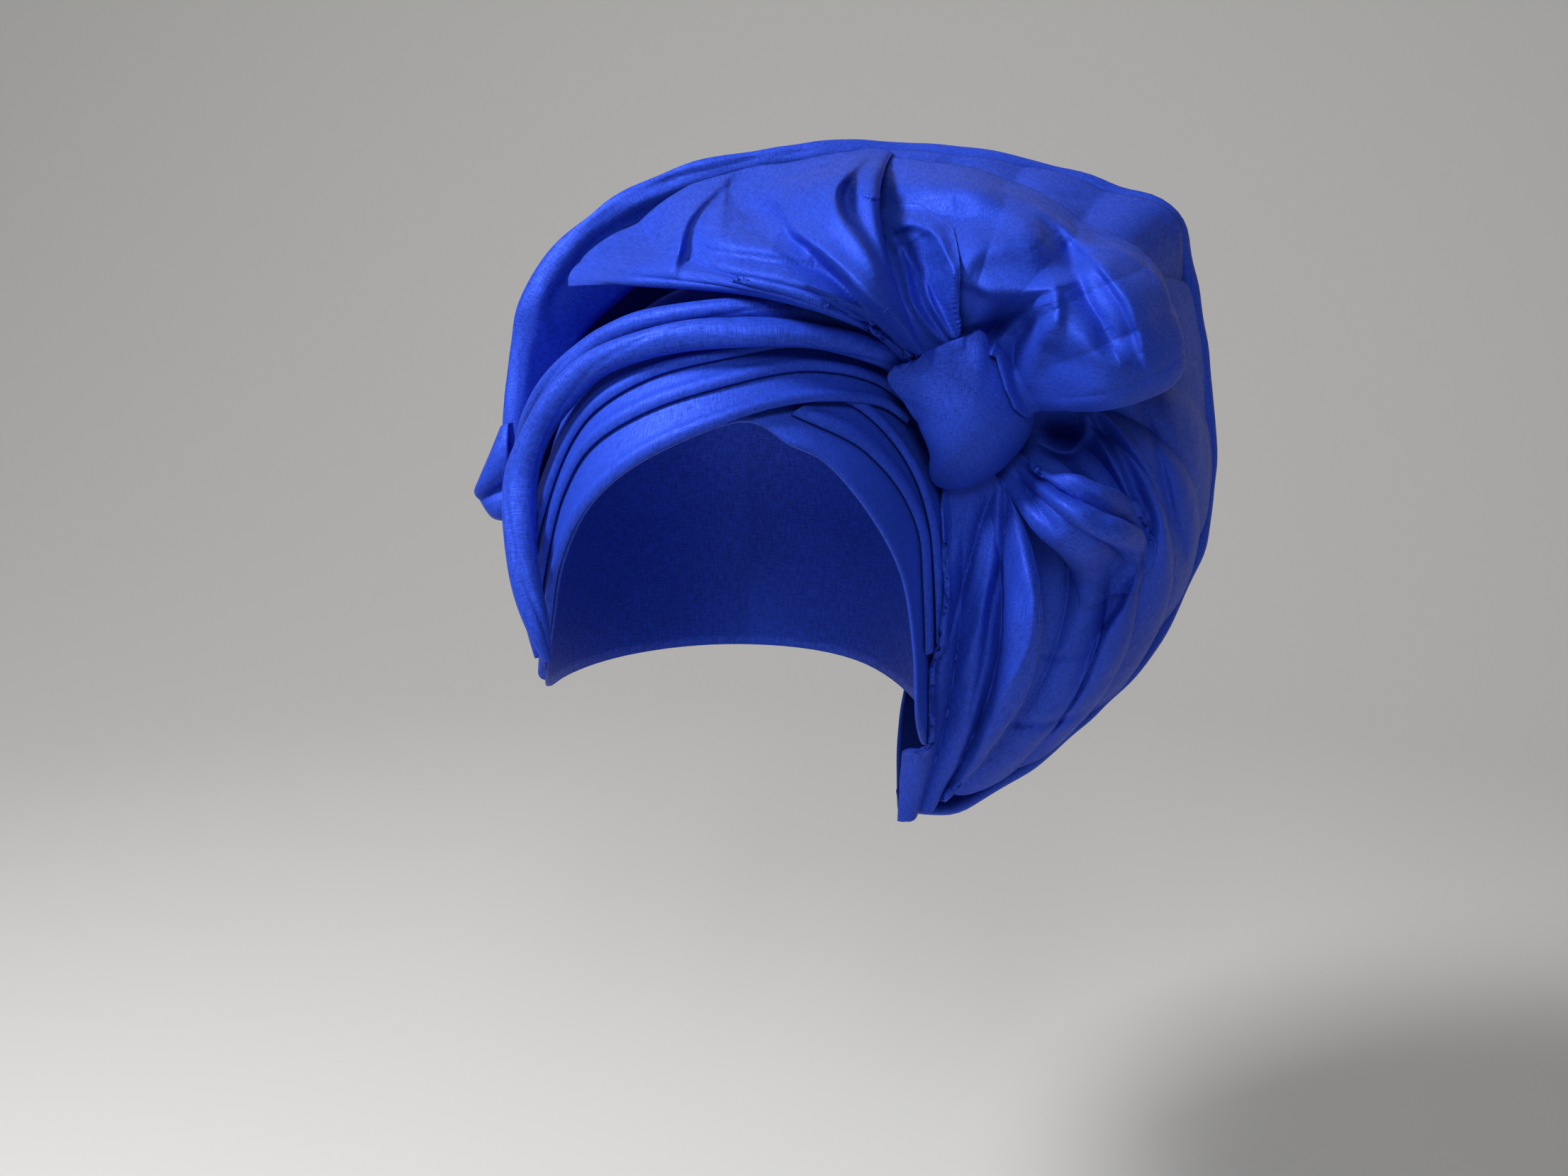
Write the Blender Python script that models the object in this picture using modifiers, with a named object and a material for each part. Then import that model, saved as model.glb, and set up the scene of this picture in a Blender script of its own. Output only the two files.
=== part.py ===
"""Tied gele head tie: one stiff taffeta cloth wound round a head, puffed above and knotted at the side.

Metres, +Z up, the face looks along -Y. The origin is the middle of the head at the hat band.
"""
import math
from collections import namedtuple

import bmesh
import bpy
from mathutils import Vector
from mathutils.bvhtree import BVHTree

# Cloth
WALL = 0.0015               # folded double cloth
GAP = 0.0005                # air between two turns
CLEAR = 0.0008              # air between a gathered sheet and what it lies on

# Head form, the inside of the under wrap
HEAD_HALF_WIDTH = 0.076
HEAD_HALF_DEPTH = 0.097
HEAD_RISE = 0.104           # crown of the head above the hat band
NECK_TAPER = 0.12           # how much the form draws in below the hat band

# Rolls above the brow
ROLL_LOW_RADIUS = 0.0050
ROLL_HIGH_RADIUS = 0.0043

# Crown outline, measured out from the head form
LEFT_PUFF = 0.018           # beyond the head on the viewer's left
RIGHT_FAN = 0.116           # beyond the head on the viewer's right
TOP_PUFF = 0.051            # above the crown of the head
DRAPE_DROP = 0.118          # below the hat band
RIM_SET_BACK = 0.046        # the rim's widest part behind the middle of the head
CROWN_BACK = 0.052          # the bag behind the back of the head
RIM_CURL = 0.006            # the bag's lip curls forward of its rim
BAG_DRAW_IN = 0.02          # share by which the bag draws in behind its rim
PUFF_DEPTH = 0.060          # how far a full fold stands forward

# Knot strap
STRAP_REACH = 0.028
STRAP_DOME = 0.014          # its middle in front of its edge
STRAP_LEAN = 0.3            # its upper edge leans forward by that share of its height
PLAIN_REACH = 0.85          # reach of its plain middle, before the edge has its own outline
KNOT_TURN = 54.0            # degrees round the head from the face, to the viewer's right
KNOT_RISE = 24.0            # degrees above the hat band
KNOT_LIFT = 0.030           # the strap's middle off the head form

# Nape, where the bag is tucked in
NAPE_RISE = -29.0           # degrees, just above the under wrap's edge

# Tail at the viewer's left
TAIL_ROOT = 0.0095          # off the head's side
TAIL_TOP = 0.050            # above the hat band
TAIL_DROP = 0.034
TAIL_STAND = 0.0135         # how far its tip stands out from its root
TAIL_DEPTH = 0.008
TAIL_FORWARD = 0.007        # its middle in front of the middle of the head

STEP = WALL + GAP
RAD = math.pi / 180.0

LEFT_EDGE = -(HEAD_HALF_WIDTH + LEFT_PUFF)
RIGHT_EDGE = HEAD_HALF_WIDTH + RIGHT_FAN
TOP_EDGE = HEAD_RISE + TOP_PUFF
CROWN_X = (LEFT_EDGE + RIGHT_EDGE) / 2
CROWN_Z = (TOP_EDGE - DRAPE_DROP) / 2
CROWN_HALF_WIDTH = (RIGHT_EDGE - LEFT_EDGE) / 2
CROWN_HALF_HEIGHT = (TOP_EDGE + DRAPE_DROP) / 2

Edge = namedtuple("Edge", "turn rise")
Roll = namedtuple("Roll", "turn rise size")
Rim = namedtuple("Rim", "angle reach back")
Bag = namedtuple("Bag", "angle lip lip_back belly nape")
Strap = namedtuple("Strap", "bearing reach sink")
Tail = namedtuple("Tail", "stand level root_level full")
Crease = namedtuple("Crease", "root leaves arrives meets inside lift full back puff")

# Edge of the under wrap round the face and neck, degrees on the head form
FACE_EDGE = [
    Edge(-180, -34), Edge(-140, -33), Edge(-105, -31), Edge(-84, -28), Edge(-71, -21), Edge(-60, -9),
    Edge(-52, 5), Edge(-41, 18), Edge(-23, 28), Edge(2, 35), Edge(16, 30), Edge(26, 26),
    Edge(38, 15), Edge(48, 2), Edge(54, -13), Edge(60, -31), Edge(74, -40), Edge(105, -39),
    Edge(140, -35), Edge(180, -34)]

# Lower edges of the pleats, each read from the viewer's left to right
BAND_LOW_EDGE = [Edge(-71, -22), Edge(-60, -10), Edge(-52, 4), Edge(-41, 17), Edge(-23, 27.5), Edge(0, 34.5),
                 Edge(16, 37), Edge(31, 37), Edge(46, 35), Edge(55, 31)]
BAND_MID_EDGE = [Edge(-69, -14), Edge(-58, 2), Edge(-51, 18), Edge(-42, 28), Edge(-23, 36), Edge(0, 41),
                 Edge(18, 43), Edge(33, 42), Edge(46, 39), Edge(55, 34.5)]
BAND_HIGH_EDGE = [Edge(-66, -4), Edge(-58, 12), Edge(-51, 27), Edge(-42, 35), Edge(-24, 42), Edge(0, 46),
                  Edge(18, 47.5), Edge(33, 46), Edge(46, 43), Edge(55, 38)]
BAND_TOP_EDGE = [Edge(-66, 10), Edge(-58, 26), Edge(-51, 38), Edge(-42, 45), Edge(-24, 51), Edge(0, 54),
                 Edge(18, 54), Edge(33, 52), Edge(46, 47), Edge(55, 41)]
PLEAT_INNER_EDGE = [Edge(17, 36), Edge(34, 30), Edge(43, 24.5), Edge(50, 18), Edge(55, 10), Edge(56, 1),
                    Edge(59, -14)]
PLEAT_OUTER_EDGE = [Edge(30, 39), Edge(40, 35), Edge(49, 28), Edge(55, 20), Edge(58, 11), Edge(59, 2),
                    Edge(62, -12)]
PLEAT_END_EDGE = [Edge(44, 42), Edge(53, 37), Edge(60, 29), Edge(66, 20), Edge(69, 11), Edge(70, 2),
                  Edge(72, -10)]

# Rolls: where the middle line runs on the head form, and the thickness as a share of the radius
ROLL_LOW = [
    Roll(-50, -12, 0.35), Roll(-51, -6, 0.75), Roll(-54, 1, 1.0), Roll(-57, 9, 1.1), Roll(-60, 19, 1.2),
    Roll(-57, 27, 1.15), Roll(-51, 34, 1.05), Roll(-42, 40.5, 0.95), Roll(-25, 45, 0.95), Roll(-8, 47, 0.95),
    Roll(14, 47, 0.95), Roll(33, 44.5, 0.9), Roll(50, 40.5, 0.8), Roll(62, 37, 0.55)]
ROLL_HIGH = [
    Roll(-84, 12, 0.4), Roll(-80, 22, 0.75), Roll(-67, 33, 1.0), Roll(-55, 41.5, 1.0), Roll(-46, 46, 1.0),
    Roll(-29, 50.5, 1.0), Roll(0, 52.5, 1.0), Roll(27, 51, 1.0), Roll(47, 46.5, 0.85), Roll(64, 41.5, 0.55)]

# Rim of the crown, counter-clockwise from below the knot: reach and set-back as shares
RIM = [
    Rim(-84, 0.95, 0.52), Rim(-75, 1.0, 0.6), Rim(-65, 0.97, 0.66), Rim(-49, 0.95, 0.78), Rim(-31, 0.96, 0.88),
    Rim(-11, 0.985, 0.98), Rim(2, 0.995, 1.0), Rim(19, 1.02, 1.0), Rim(35, 1.1, 0.95), Rim(44, 1.155, 0.7),
    Rim(53, 1.1, 0.8), Rim(61, 1.065, 0.82), Rim(76, 1.01, 0.8), Rim(96, 1.005, 0.74), Rim(110, 1.025, 0.7),
    Rim(122, 1.07, 0.65), Rim(138, 1.1, 0.56), Rim(150, 1.085, 0.48), Rim(165, 1.01, 0.33),
    Rim(180, 0.965, 0.24), Rim(193, 0.975, 0.2), Rim(208, 1.02, 0.2)]

# The bag, a row for each long fold: how far its front lip runs in from the rim and back from it,
# how full it is behind, and the turn at which it is tucked in along the nape
CROWN_BAG = [
    Bag(-84, 0.05, 0.1, 0.1, 118), Bag(-65, 0.06, 0.1, 0.4, 126), Bag(-45, 0.06, 0.1, 0.7, 135),
    Bag(-22, 0.06, 0.1, 0.9, 146), Bag(2, 0.06, 0.1, 1.0, 156), Bag(25, 0.06, 0.1, 1.0, 164),
    Bag(44, 0.06, 0.1, 0.9, 170), Bag(66, 0.06, 0.1, 1.0, 176), Bag(90, 0.08, 0.1, 1.0, 182),
    Bag(112, 0.14, 0.3, 1.0, 190), Bag(134, 0.2, 0.4, 0.95, 200), Bag(154, 0.14, 0.3, 0.9, 212),
    Bag(174, 0.05, 0.1, 0.75, 224), Bag(192, 0.04, 0.1, 0.5, 236), Bag(206, 0.02, 0.1, 0.25, 246)]

# Outline of the strap, counter-clockwise: its reach and how far its edge sinks, as shares
STRAP_EDGE = [
    Strap(-190, 0.62, 0.6), Strap(-165, 0.52, 0.65), Strap(-143, 0.55, 0.75), Strap(-122, 0.76, 0.9),
    Strap(-105, 0.80, 1.0), Strap(-76, 0.74, 1.1), Strap(-51, 0.72, 1.2), Strap(-30, 0.74, 1.3),
    Strap(-6, 0.82, 1.3), Strap(12, 0.86, 1.2), Strap(30, 0.8, 1.15), Strap(52, 0.85, 1.1), Strap(72, 1.0, 1.1),
    Strap(84, 1.22, 1.1), Strap(94, 1.15, 1.0), Strap(113, 1.1, 0.95), Strap(130, 1.12, 0.85),
    Strap(146, 1.2, 0.7), Strap(156, 0.86, 0.65), Strap(170, 0.62, 0.6)]

# Tail from its top down: how far each row stands out, the level of its outer end and of its root as
# shares of the drop, and how full it is; the thin row is the crease between its two lobes
TAIL = [
    Tail(0.21, 0.0, -0.05, 0.45), Tail(0.54, 0.3, 0.16, 0.9), Tail(0.87, 0.58, 0.35, 1.0),
    Tail(1.0, 0.71, 0.49, 0.8), Tail(0.87, 0.785, 0.58, 0.35), Tail(0.75, 0.87, 0.74, 0.8),
    Tail(0.55, 0.97, 0.86, 0.85), Tail(0.27, 1.0, 0.955, 0.4)]

# Gathered sheets, clockwise round the knot. A row is a crease or a ridge from the knot outwards:
# where it comes out of the strap, the bearings it leaves and arrives on, the rim angle it meets, how far
# inside the rim it stops, its lift forward, how late it turns back, its end's set-back, and the puff
# up to the next row
SWAG = [
    Crease(136, 127, 180, 143, 0.86, 0.04, 2.0, 0.35, 0.08), Crease(135, 127, 186, 142, 0.91, 0.3, 3.0, -0.2, 0.1),
    Crease(133, 127, 164, 138.5, 0.92, 0.4, 3.0, 0.0, 0.06),
    Crease(131, 126, 132, 128, 0.91, 0.34, 3.5, 0.1, 0.04), Crease(128, 125, 102, 113, 0.95, 0.36, 4.0, 0.3, 0.0),
    Crease(125, 124, 62, 100, 0.96, 0.4, 4.0, 0.5, 0.0), Crease(122, 123, 42, 89, 0.975, 0.42, 4.0, 0.6, 0.0),
    Crease(120, 121, 44, 86.5, 0.965, 0.22, 4.0, 0.6, 0.0)]
POCKET = [
    Crease(121, 122, 92, 94, 0.74, 0.2, 1.4, -0.6, 0.01), Crease(114, 116, 88, 90, 0.77, 0.14, 1.4, -0.6, 0.01),
    Crease(107, 106, 84, 84, 0.79, 0.12, 1.4, -0.55, 0.01), Crease(98, 94, 96, 77, 0.73, 0.22, 1.4, -0.6, 0.0)]
TOP = [
    Crease(112, 112, 80, 90, 0.97, 0.1, 1.8, 0.75, 0.03), Crease(98, 98, 60, 77, 0.98, 0.14, 1.8, 0.75, 0.04),
    Crease(84, 84, 45, 66, 0.98, 0.2, 1.8, 0.75, 0.04), Crease(68, 68, 38, 54, 0.98, 0.22, 1.8, 0.7, 0.03),
    Crease(52, 52, 34, 45, 0.99, 0.2, 1.8, 0.62, 0.0), Crease(36, 36, 38, 36, 0.96, 0.14, 1.8, 0.75, 0.0)]
PUFF = [
    Crease(117, 116, 82, 91, 0.96, 0.1, 4.0, 0.7, 0.0), Crease(104, 104, 72, 78, 0.95, 0.26, 4.0, 0.4, 0.02),
    Crease(94, 94, 52, 69, 0.93, 0.3, 4.0, 0.3, 0.02), Crease(82, 80, 34, 56, 0.87, 0.36, 4.0, 0.2, 0.02),
    Crease(72, 60, 20, 45, 0.85, 0.42, 4.0, 0.1, 0.02), Crease(50, 36, 18, 38, 0.85, 0.5, 4.0, 0.0, 0.02),
    Crease(28, 16, 40, 34, 0.84, 0.5, 4.0, -0.2, 0.02), Crease(13, 14, 62, 31, 0.79, 0.35, 4.0, -0.3, 0.0)]
FAN = [
    Crease(38, 40, -26, 35, 0.965, 0.14, 1.6, 0.72, 0.03), Crease(27, 28, -50, 13, 0.97, 0.2, 1.6, 0.85, 0.06),
    Crease(18, 18, -75, -8, 0.97, 0.22, 1.6, 0.84, 0.06), Crease(10, 10, -95, -27, 0.97, 0.24, 1.6, 0.78, 0.08),
    Crease(0, 0, -112, -46, 0.97, 0.24, 1.6, 0.66, 0.08), Crease(-14, -14, -124, -62, 0.96, 0.24, 1.6, 0.54, 0.08),
    Crease(-32, -32, -124, -74, 0.93, 0.16, 1.6, 0.46, 0.06), Crease(-52, -52, -118, -80, 0.9, 0.08, 1.6, 0.42, 0.0)]
LOOP = [
    Crease(-25, -25, -16, 6, 0.62, 0.34, 1.5, -0.8, 0.1), Crease(-34, -34, -38, -4, 0.71, 0.5, 1.5, -0.6, 0.12),
    Crease(-44, -46, -62, -13, 0.70, 0.5, 1.5, -0.5, 0.1), Crease(-54, -60, -84, -23, 0.58, 0.26, 1.5, -0.4, 0.0)]
DRAPE = [
    Crease(-56, -50, -122, -73, 0.84, 0.4, 1.4, -0.1, 0.14), Crease(-70, -70, -112, -77, 0.88, 0.18, 1.4, 0.0, 0.12),
    Crease(-88, -88, -102, -81, 0.93, 0.12, 1.4, 0.0, 0.12), Crease(-108, -108, -92, -85, 0.96, 0.1, 1.4, -0.1, 0.0)]

HEAD_TURNS = ["under_wrap", "under_pleat_inner", "under_pleat_outer"]
ROLLS = ["front_band_high", "roll_low", "roll_high"]
FORWARD = (0, -1, 0)
UPWARD = (0, -0.5, 0.85)
SIDEWAYS = (0.7, -0.7, 0)

# The order in which the sheets are laid: how far behind the strap's edge each starts as a share of the
# strap's dome, how much of its length has gone by when it turns back, what it lies on, and which way it
# is moved to clear that
Sheet = namedtuple("Sheet", "name rows behind hold lies_on")
GATHERED = [
    Sheet("crown_top", TOP, 1.0, 0.5, [(["crown_back"], FORWARD)]),
    Sheet("side_fan", FAN, 0.79, 0.5, [(["crown_back", "crown_top"], FORWARD)]),
    Sheet("crown_puff", PUFF, 0.43, 0.82, [(["crown_back", "crown_top", "side_fan"], FORWARD)]),
    Sheet("pocket_pleats", POCKET, 0.29, 0.5, [(["crown_top", "crown_puff"], FORWARD)]),
    Sheet("crown_swag", SWAG, 0.14, 0.8,
          [(ROLLS, UPWARD), (["crown_back", "crown_top", "crown_puff", "pocket_pleats"], FORWARD)]),
    Sheet("side_loop", LOOP, 0.55, 0.5, [(["side_fan"], FORWARD)]),
    Sheet("side_drape", DRAPE, 0.29, 0.5, [(HEAD_TURNS, SIDEWAYS), (["side_fan", "side_loop"], FORWARD)])]
GATHERS = [row.name for row in GATHERED]

TUCK = 0.85                 # share of the strap's reach at which the folds come out from under it
STATIONS = 12               # steps along a fold
PER_FOLD = 3                # steps across a fold
FAR = 0.4                   # in front of every piece
MERGE = 0.00001             # points closer than this are one

SOLIDS = {}                 # finished pieces, for those that lie over them


def blended(rows, place):
    """Smooth curve through the rows of a table; place counts rows."""
    last = len(rows) - 1
    k = max(0, min(int(place), last - 1))
    w = place - k
    near = [rows[min(max(i, 0), last)] for i in (k - 1, k, k + 1, k + 2)]
    return type(rows[0])(*[
        0.5 * (2 * q + (r - p) * w + (2 * p - 5 * q + 4 * r - s) * w * w + (3 * q - p - 3 * r + s) * w ** 3)
        for p, q, r, s in zip(*near)])


def row_at(rows, value):
    """Row of a table at a value of its first column, which rises from row to row."""
    k = 0
    while k < len(rows) - 2 and rows[k + 1][0] < value:
        k += 1
    low, high = 0.0, 1.0
    for _ in range(30):
        middle = (low + high) / 2
        if blended(rows, k + middle)[0] < value:
            low = middle
        else:
            high = middle
    return blended(rows, k + low)


def ease(share):
    share = max(0.0, min(1.0, share))
    return share * share * (3 - 2 * share)


def on_head(turn, rise, off):
    """Point off the head form: turn from the face to the viewer's right, rise above the hat band."""
    t, r = turn * RAD, rise * RAD
    girth = math.cos(r) if rise >= 0 else 1 - NECK_TAPER * math.sin(r) ** 2
    return Vector(((HEAD_HALF_WIDTH + off) * girth * math.sin(t), -(HEAD_HALF_DEPTH + off) * girth * math.cos(t),
                   (HEAD_RISE + off) * math.sin(r)))


KNOT = on_head(KNOT_TURN, KNOT_RISE, KNOT_LIFT)


def rim_point(angle, inside=1.0, back=1.0):
    """Point on the crown's rim, or inside it by a share of its reach."""
    row = row_at(RIM, angle)
    reach = row.reach * inside
    return Vector((CROWN_X + CROWN_HALF_WIDTH * reach * math.cos(angle * RAD),
                   RIM_SET_BACK * row.back * back,
                   CROWN_Z + CROWN_HALF_HEIGHT * reach * math.sin(angle * RAD)))


def strap_point(bearing, share):
    """Point on the domed strap, at a share of the way from its middle to its edge."""
    first = STRAP_EDGE[0].bearing
    row = row_at(STRAP_EDGE, (bearing - first) % 360 + first)
    own = share ** 2            # the middle is plain, and the edge has its own outline
    reach = STRAP_REACH * share * (PLAIN_REACH + (row.reach - PLAIN_REACH) * own)
    sink = STRAP_DOME * share ** 2 * (1 + (row.sink - 1) * own)
    level = reach * math.sin(bearing * RAD)
    return KNOT + Vector((reach * math.cos(bearing * RAD), sink - STRAP_LEAN * level, level))


def bezier(a, b, c, d, t):
    s = 1 - t
    return a * s ** 3 + b * 3 * s * s * t + c * 3 * s * t * t + d * t ** 3


def fold_point(row, t, behind, hold):
    """Point along a gathered fold, from under the strap at 0 to its outer end at 1."""
    start = strap_point(row.root, TUCK)
    start.y = strap_point(row.root, 1.0).y + STRAP_DOME * behind
    end = rim_point(row.meets, row.inside)
    end.y = RIM_SET_BACK * row.back
    span = 0.36 * math.hypot(end.x - start.x, end.z - start.z)
    leave = Vector((math.cos(row.leaves * RAD), 0, math.sin(row.leaves * RAD))) * span
    arrive = Vector((math.cos(row.arrives * RAD), 0, math.sin(row.arrives * RAD))) * span
    point = bezier(start, start + leave, end - arrive, end, t)
    bump = ease(t / 0.42) * (1 - ease((t - hold) / (1 - hold)))
    point.y = start.y + (end.y - start.y) * t ** row.full - row.lift * PUFF_DEPTH * bump
    return point


def grid_normals(grid):
    """Normal at each point of a grid of points."""
    rows, cols = len(grid), len(grid[0])
    out = []
    for i in range(rows):
        line = []
        for j in range(cols):
            across = grid[min(i + 1, rows - 1)][j] - grid[max(i - 1, 0)][j]
            along = grid[i][min(j + 1, cols - 1)] - grid[i][max(j - 1, 0)]
            line.append(across.cross(along).normalized())
        out.append(line)
    return out


def gathered_grid(rows, behind, hold):
    """Sheet of folds between the rows of a table, each puffed up between its two creases."""
    grid, puffs = [], []
    steps = (len(rows) - 1) * PER_FOLD
    for i in range(steps + 1):
        place = i / PER_FOLD
        row = blended(rows, place)
        k = min(int(place), len(rows) - 2)
        puffs.append(rows[k].puff * math.sin(math.pi * (place - k)) ** 0.8 if place > k else 0.0)
        grid.append([fold_point(row, j / STATIONS, behind, hold) for j in range(STATIONS + 1)])
    normals = grid_normals(grid)
    for i, line in enumerate(grid):
        for j in range(len(line)):
            t = j / STATIONS
            swell = PUFF_DEPTH * puffs[i] * ease(t / 0.45) * (1 - 0.5 * ease((t - 0.7) / 0.3))
            line[j] = line[j] + normals[i][j] * swell
    return grid


def around(i, j, rows, cols):
    """Places next to a place of a grid."""
    return [(a, b) for a in range(max(i - 1, 0), min(i + 2, rows))
            for b in range(max(j - 1, 0), min(j + 2, cols)) if (a, b) != (i, j)]


def wall_tree(grid):
    """Both faces and the edges of a sheet's wall, for testing what it cuts."""
    rows, cols = len(grid), len(grid[0])
    normals = grid_normals(grid)
    points = [point for line in grid for point in line]
    points += [grid[i][j] - normals[i][j] * (WALL + GAP / 2) for i in range(rows) for j in range(cols)]
    faces = []
    for i in range(rows - 1):
        for j in range(cols - 1):
            face = (i * cols + j, (i + 1) * cols + j, (i + 1) * cols + j + 1, i * cols + j + 1)
            faces += [face, tuple(k + rows * cols for k in face)]
    border = [i * cols for i in range(rows)] + [(rows - 1) * cols + j for j in range(1, cols)]
    border += [i * cols + cols - 1 for i in range(rows - 2, -1, -1)] + [j for j in range(cols - 2, 0, -1)]
    for a, b in zip(border, border[1:] + border[:1]):
        faces.append((a, b, b + rows * cols, a + rows * cols))
    return BVHTree.FromPolygons(points, faces), faces


def laid_over(grid, below, way):
    """Move a sheet's points along way until its wall clears the pieces named below it."""
    rows, cols = len(grid), len(grid[0])
    way = Vector(way).normalized()
    lift = [[0.0] * cols for _ in range(rows)]
    for i in range(rows):
        for j in range(cols):
            near = [grid[i][j]] + [grid[i][j].lerp(grid[a][b], 0.5) for a, b in around(i, j, rows, cols)]
            for spot in near:
                for name in below:
                    hit = SOLIDS[name].ray_cast(spot + way * FAR, -way)[0]
                    if hit:
                        lift[i][j] = max(lift[i][j], (hit - spot).dot(way) + WALL + CLEAR)
    for _ in range(2):
        lift = [[max(lift[i][j], 0.5 * max(lift[a][b] for a, b in around(i, j, rows, cols)))
                 for j in range(cols)] for i in range(rows)]
    grid = [[grid[i][j] + way * lift[i][j] for j in range(cols)] for i in range(rows)]
    for _ in range(16):
        tree, faces = wall_tree(grid)
        cut = {k % (rows * cols) for name in below for pair in tree.overlap(SOLIDS[name]) for k in faces[pair[0]]}
        if not cut:
            break
        step = [[0.0] * cols for _ in range(rows)]
        for k in cut:
            i, j = divmod(k, cols)
            step[i][j] = GAP
            for a, b in around(i, j, rows, cols):
                step[a][b] = max(step[a][b], GAP / 2)
        grid = [[grid[i][j] + way * step[i][j] for j in range(cols)] for i in range(rows)]
    return grid


def keep_solid(obj):
    """Remember a finished piece, for those that lie over it."""
    view = bpy.context.evaluated_depsgraph_get()
    view.update()
    mesh = obj.evaluated_get(view).to_mesh()
    SOLIDS[obj.name] = BVHTree.FromPolygons([v.co.copy() for v in mesh.vertices],
                                            [tuple(p.vertices) for p in mesh.polygons])
    obj.evaluated_get(view).to_mesh_clear()


def new_object(name, mesh, colour, roughness):
    material = bpy.data.materials.new(name + "_cloth")
    material.use_nodes = True
    shader = material.node_tree.nodes["Principled BSDF"]
    shader.inputs["Base Color"].default_value = (*colour, 1)
    shader.inputs["Roughness"].default_value = roughness
    mesh.materials.append(material)
    obj = bpy.data.objects.new(name, mesh)
    bpy.data.collections["gele_head_tie"].objects.link(obj)
    mesh.shade_smooth()
    mesh.set_sharp_from_angle(angle=50 * RAD)
    return obj


def sheet(name, grid, side, closed=False, colour=(0.035, 0.05, 0.45)):
    """Cloth wall on a grid of points; side 1 grows along the grid's normals, -1 against them."""
    rows, cols = len(grid), len(grid[0])
    mesh = bpy.data.meshes.new(name)
    bm = bmesh.new()
    spots = [[bm.verts.new(point) for point in line] for line in grid]
    for i in range(rows if closed else rows - 1):
        for j in range(cols - 1):
            after = spots[(i + 1) % rows]
            bm.faces.new((spots[i][j], after[j], after[j + 1], spots[i][j + 1]))
    bmesh.ops.remove_doubles(bm, verts=bm.verts, dist=MERGE)
    bm.to_mesh(mesh)
    bm.free()
    obj = new_object(name, mesh, colour, 0.45)
    wall = obj.modifiers.new("wall", "SOLIDIFY")
    wall.thickness = WALL
    wall.offset = side
    keep_solid(obj)


def rolled(name, rows, radius, first, last):
    """Rolled turn of cloth: a round filled tube along a smooth line off the head form."""
    curve = bpy.data.curves.new(name, "CURVE")
    curve.dimensions = "3D"
    curve.bevel_depth = radius
    curve.bevel_resolution = 2
    curve.use_fill_caps = True
    spline = curve.splines.new("POLY")
    steps = (len(rows) - 1) * 3
    spline.points.add(steps)
    for i in range(steps + 1):
        row = blended(rows, i / 3)
        base = STEP * (first + (last - first) * ease(i / steps))
        point = on_head(row.turn, row.rise, base + radius * row.size)
        spline.points[i].co = (*point, 1)
        spline.points[i].radius = row.size
    guide = bpy.data.objects.new(name + "_guide", curve)
    bpy.context.scene.collection.objects.link(guide)
    mesh = bpy.data.meshes.new_from_object(guide.evaluated_get(bpy.context.evaluated_depsgraph_get()))
    bm = bmesh.new()
    bm.from_mesh(mesh)
    bmesh.ops.remove_doubles(bm, verts=bm.verts, dist=MERGE)
    bm.to_mesh(mesh)
    bm.free()
    mesh.name = name
    bpy.data.objects.remove(guide)
    keep_solid(new_object(name, mesh, (0.04, 0.06, 0.5), 0.45))


def make_under_wrap():
    """Skull cap: columns run up from the face edge to one point at the crown."""
    columns = []
    shares = [2 * ease(0.5 + j / 18) - 1 for j in range(10)]        # closer together near the crown
    for i in range((len(FACE_EDGE) - 1) * 2):
        edge = blended(FACE_EDGE, i / 2)
        columns.append([on_head(edge.turn, edge.rise + (90 - edge.rise) * share, 0) for share in shares])
    sheet("under_wrap", columns, 1, closed=True)


def head_strip(name, lower, upper, first, last, across):
    """Pleat lying on the head form between two edges; its layer climbs from first to last."""
    steps = (len(lower) - 1) * 2
    grid = []
    for i in range(steps + 1):
        low, high = blended(lower, i / 2), blended(upper, i / 2)
        off = STEP * (first + (last - first) * ease(i / steps))
        grid.append([on_head(low.turn + (high.turn - low.turn) * j / across,
                             low.rise + (high.rise - low.rise) * j / across, off) for j in range(across + 1)])
    sheet(name, grid, 1)


def between(lower, upper, share):
    """Edge at a share of the way from one pleat edge to the next."""
    return [Edge(a.turn + (b.turn - a.turn) * share, a.rise + (b.rise - a.rise) * share)
            for a, b in zip(lower, upper)]


def make_crown_back():
    """Bag: each column runs from the front lip over the rim and down behind to the nape."""
    grid = []
    for i in range((len(CROWN_BAG) - 1) * 2 + 1):
        row = blended(CROWN_BAG, i / 2)
        rim = rim_point(row.angle)
        lip = rim_point(row.angle, 1 - row.lip)
        lip.y = rim.y + RIM_SET_BACK * row.lip_back
        out = (rim - Vector((CROWN_X, rim.y, CROWN_Z))) * BAG_DRAW_IN
        depth = HEAD_HALF_DEPTH + CROWN_BACK
        nape = on_head(row.nape, NAPE_RISE, STEP + WALL)
        shoulder = Vector((rim.x, rim.y + (depth - rim.y) * row.belly, rim.z)) - out
        belly = nape + Vector((rim.x - nape.x, 0, rim.z - nape.z)) * 0.5
        belly.y = nape.y + (depth - nape.y) * row.belly * 1.25
        crest = rim.lerp(lip, 0.3) - Vector((0, RIM_CURL, 0))
        line = [bezier(lip, lip.lerp(crest, 0.7), crest, rim, j / 4) for j in range(4)]
        line += [bezier(rim, shoulder, belly, nape, j / 11) for j in range(12)]
        grid.append(line)
    sheet("crown_back", grid, -1)


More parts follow.
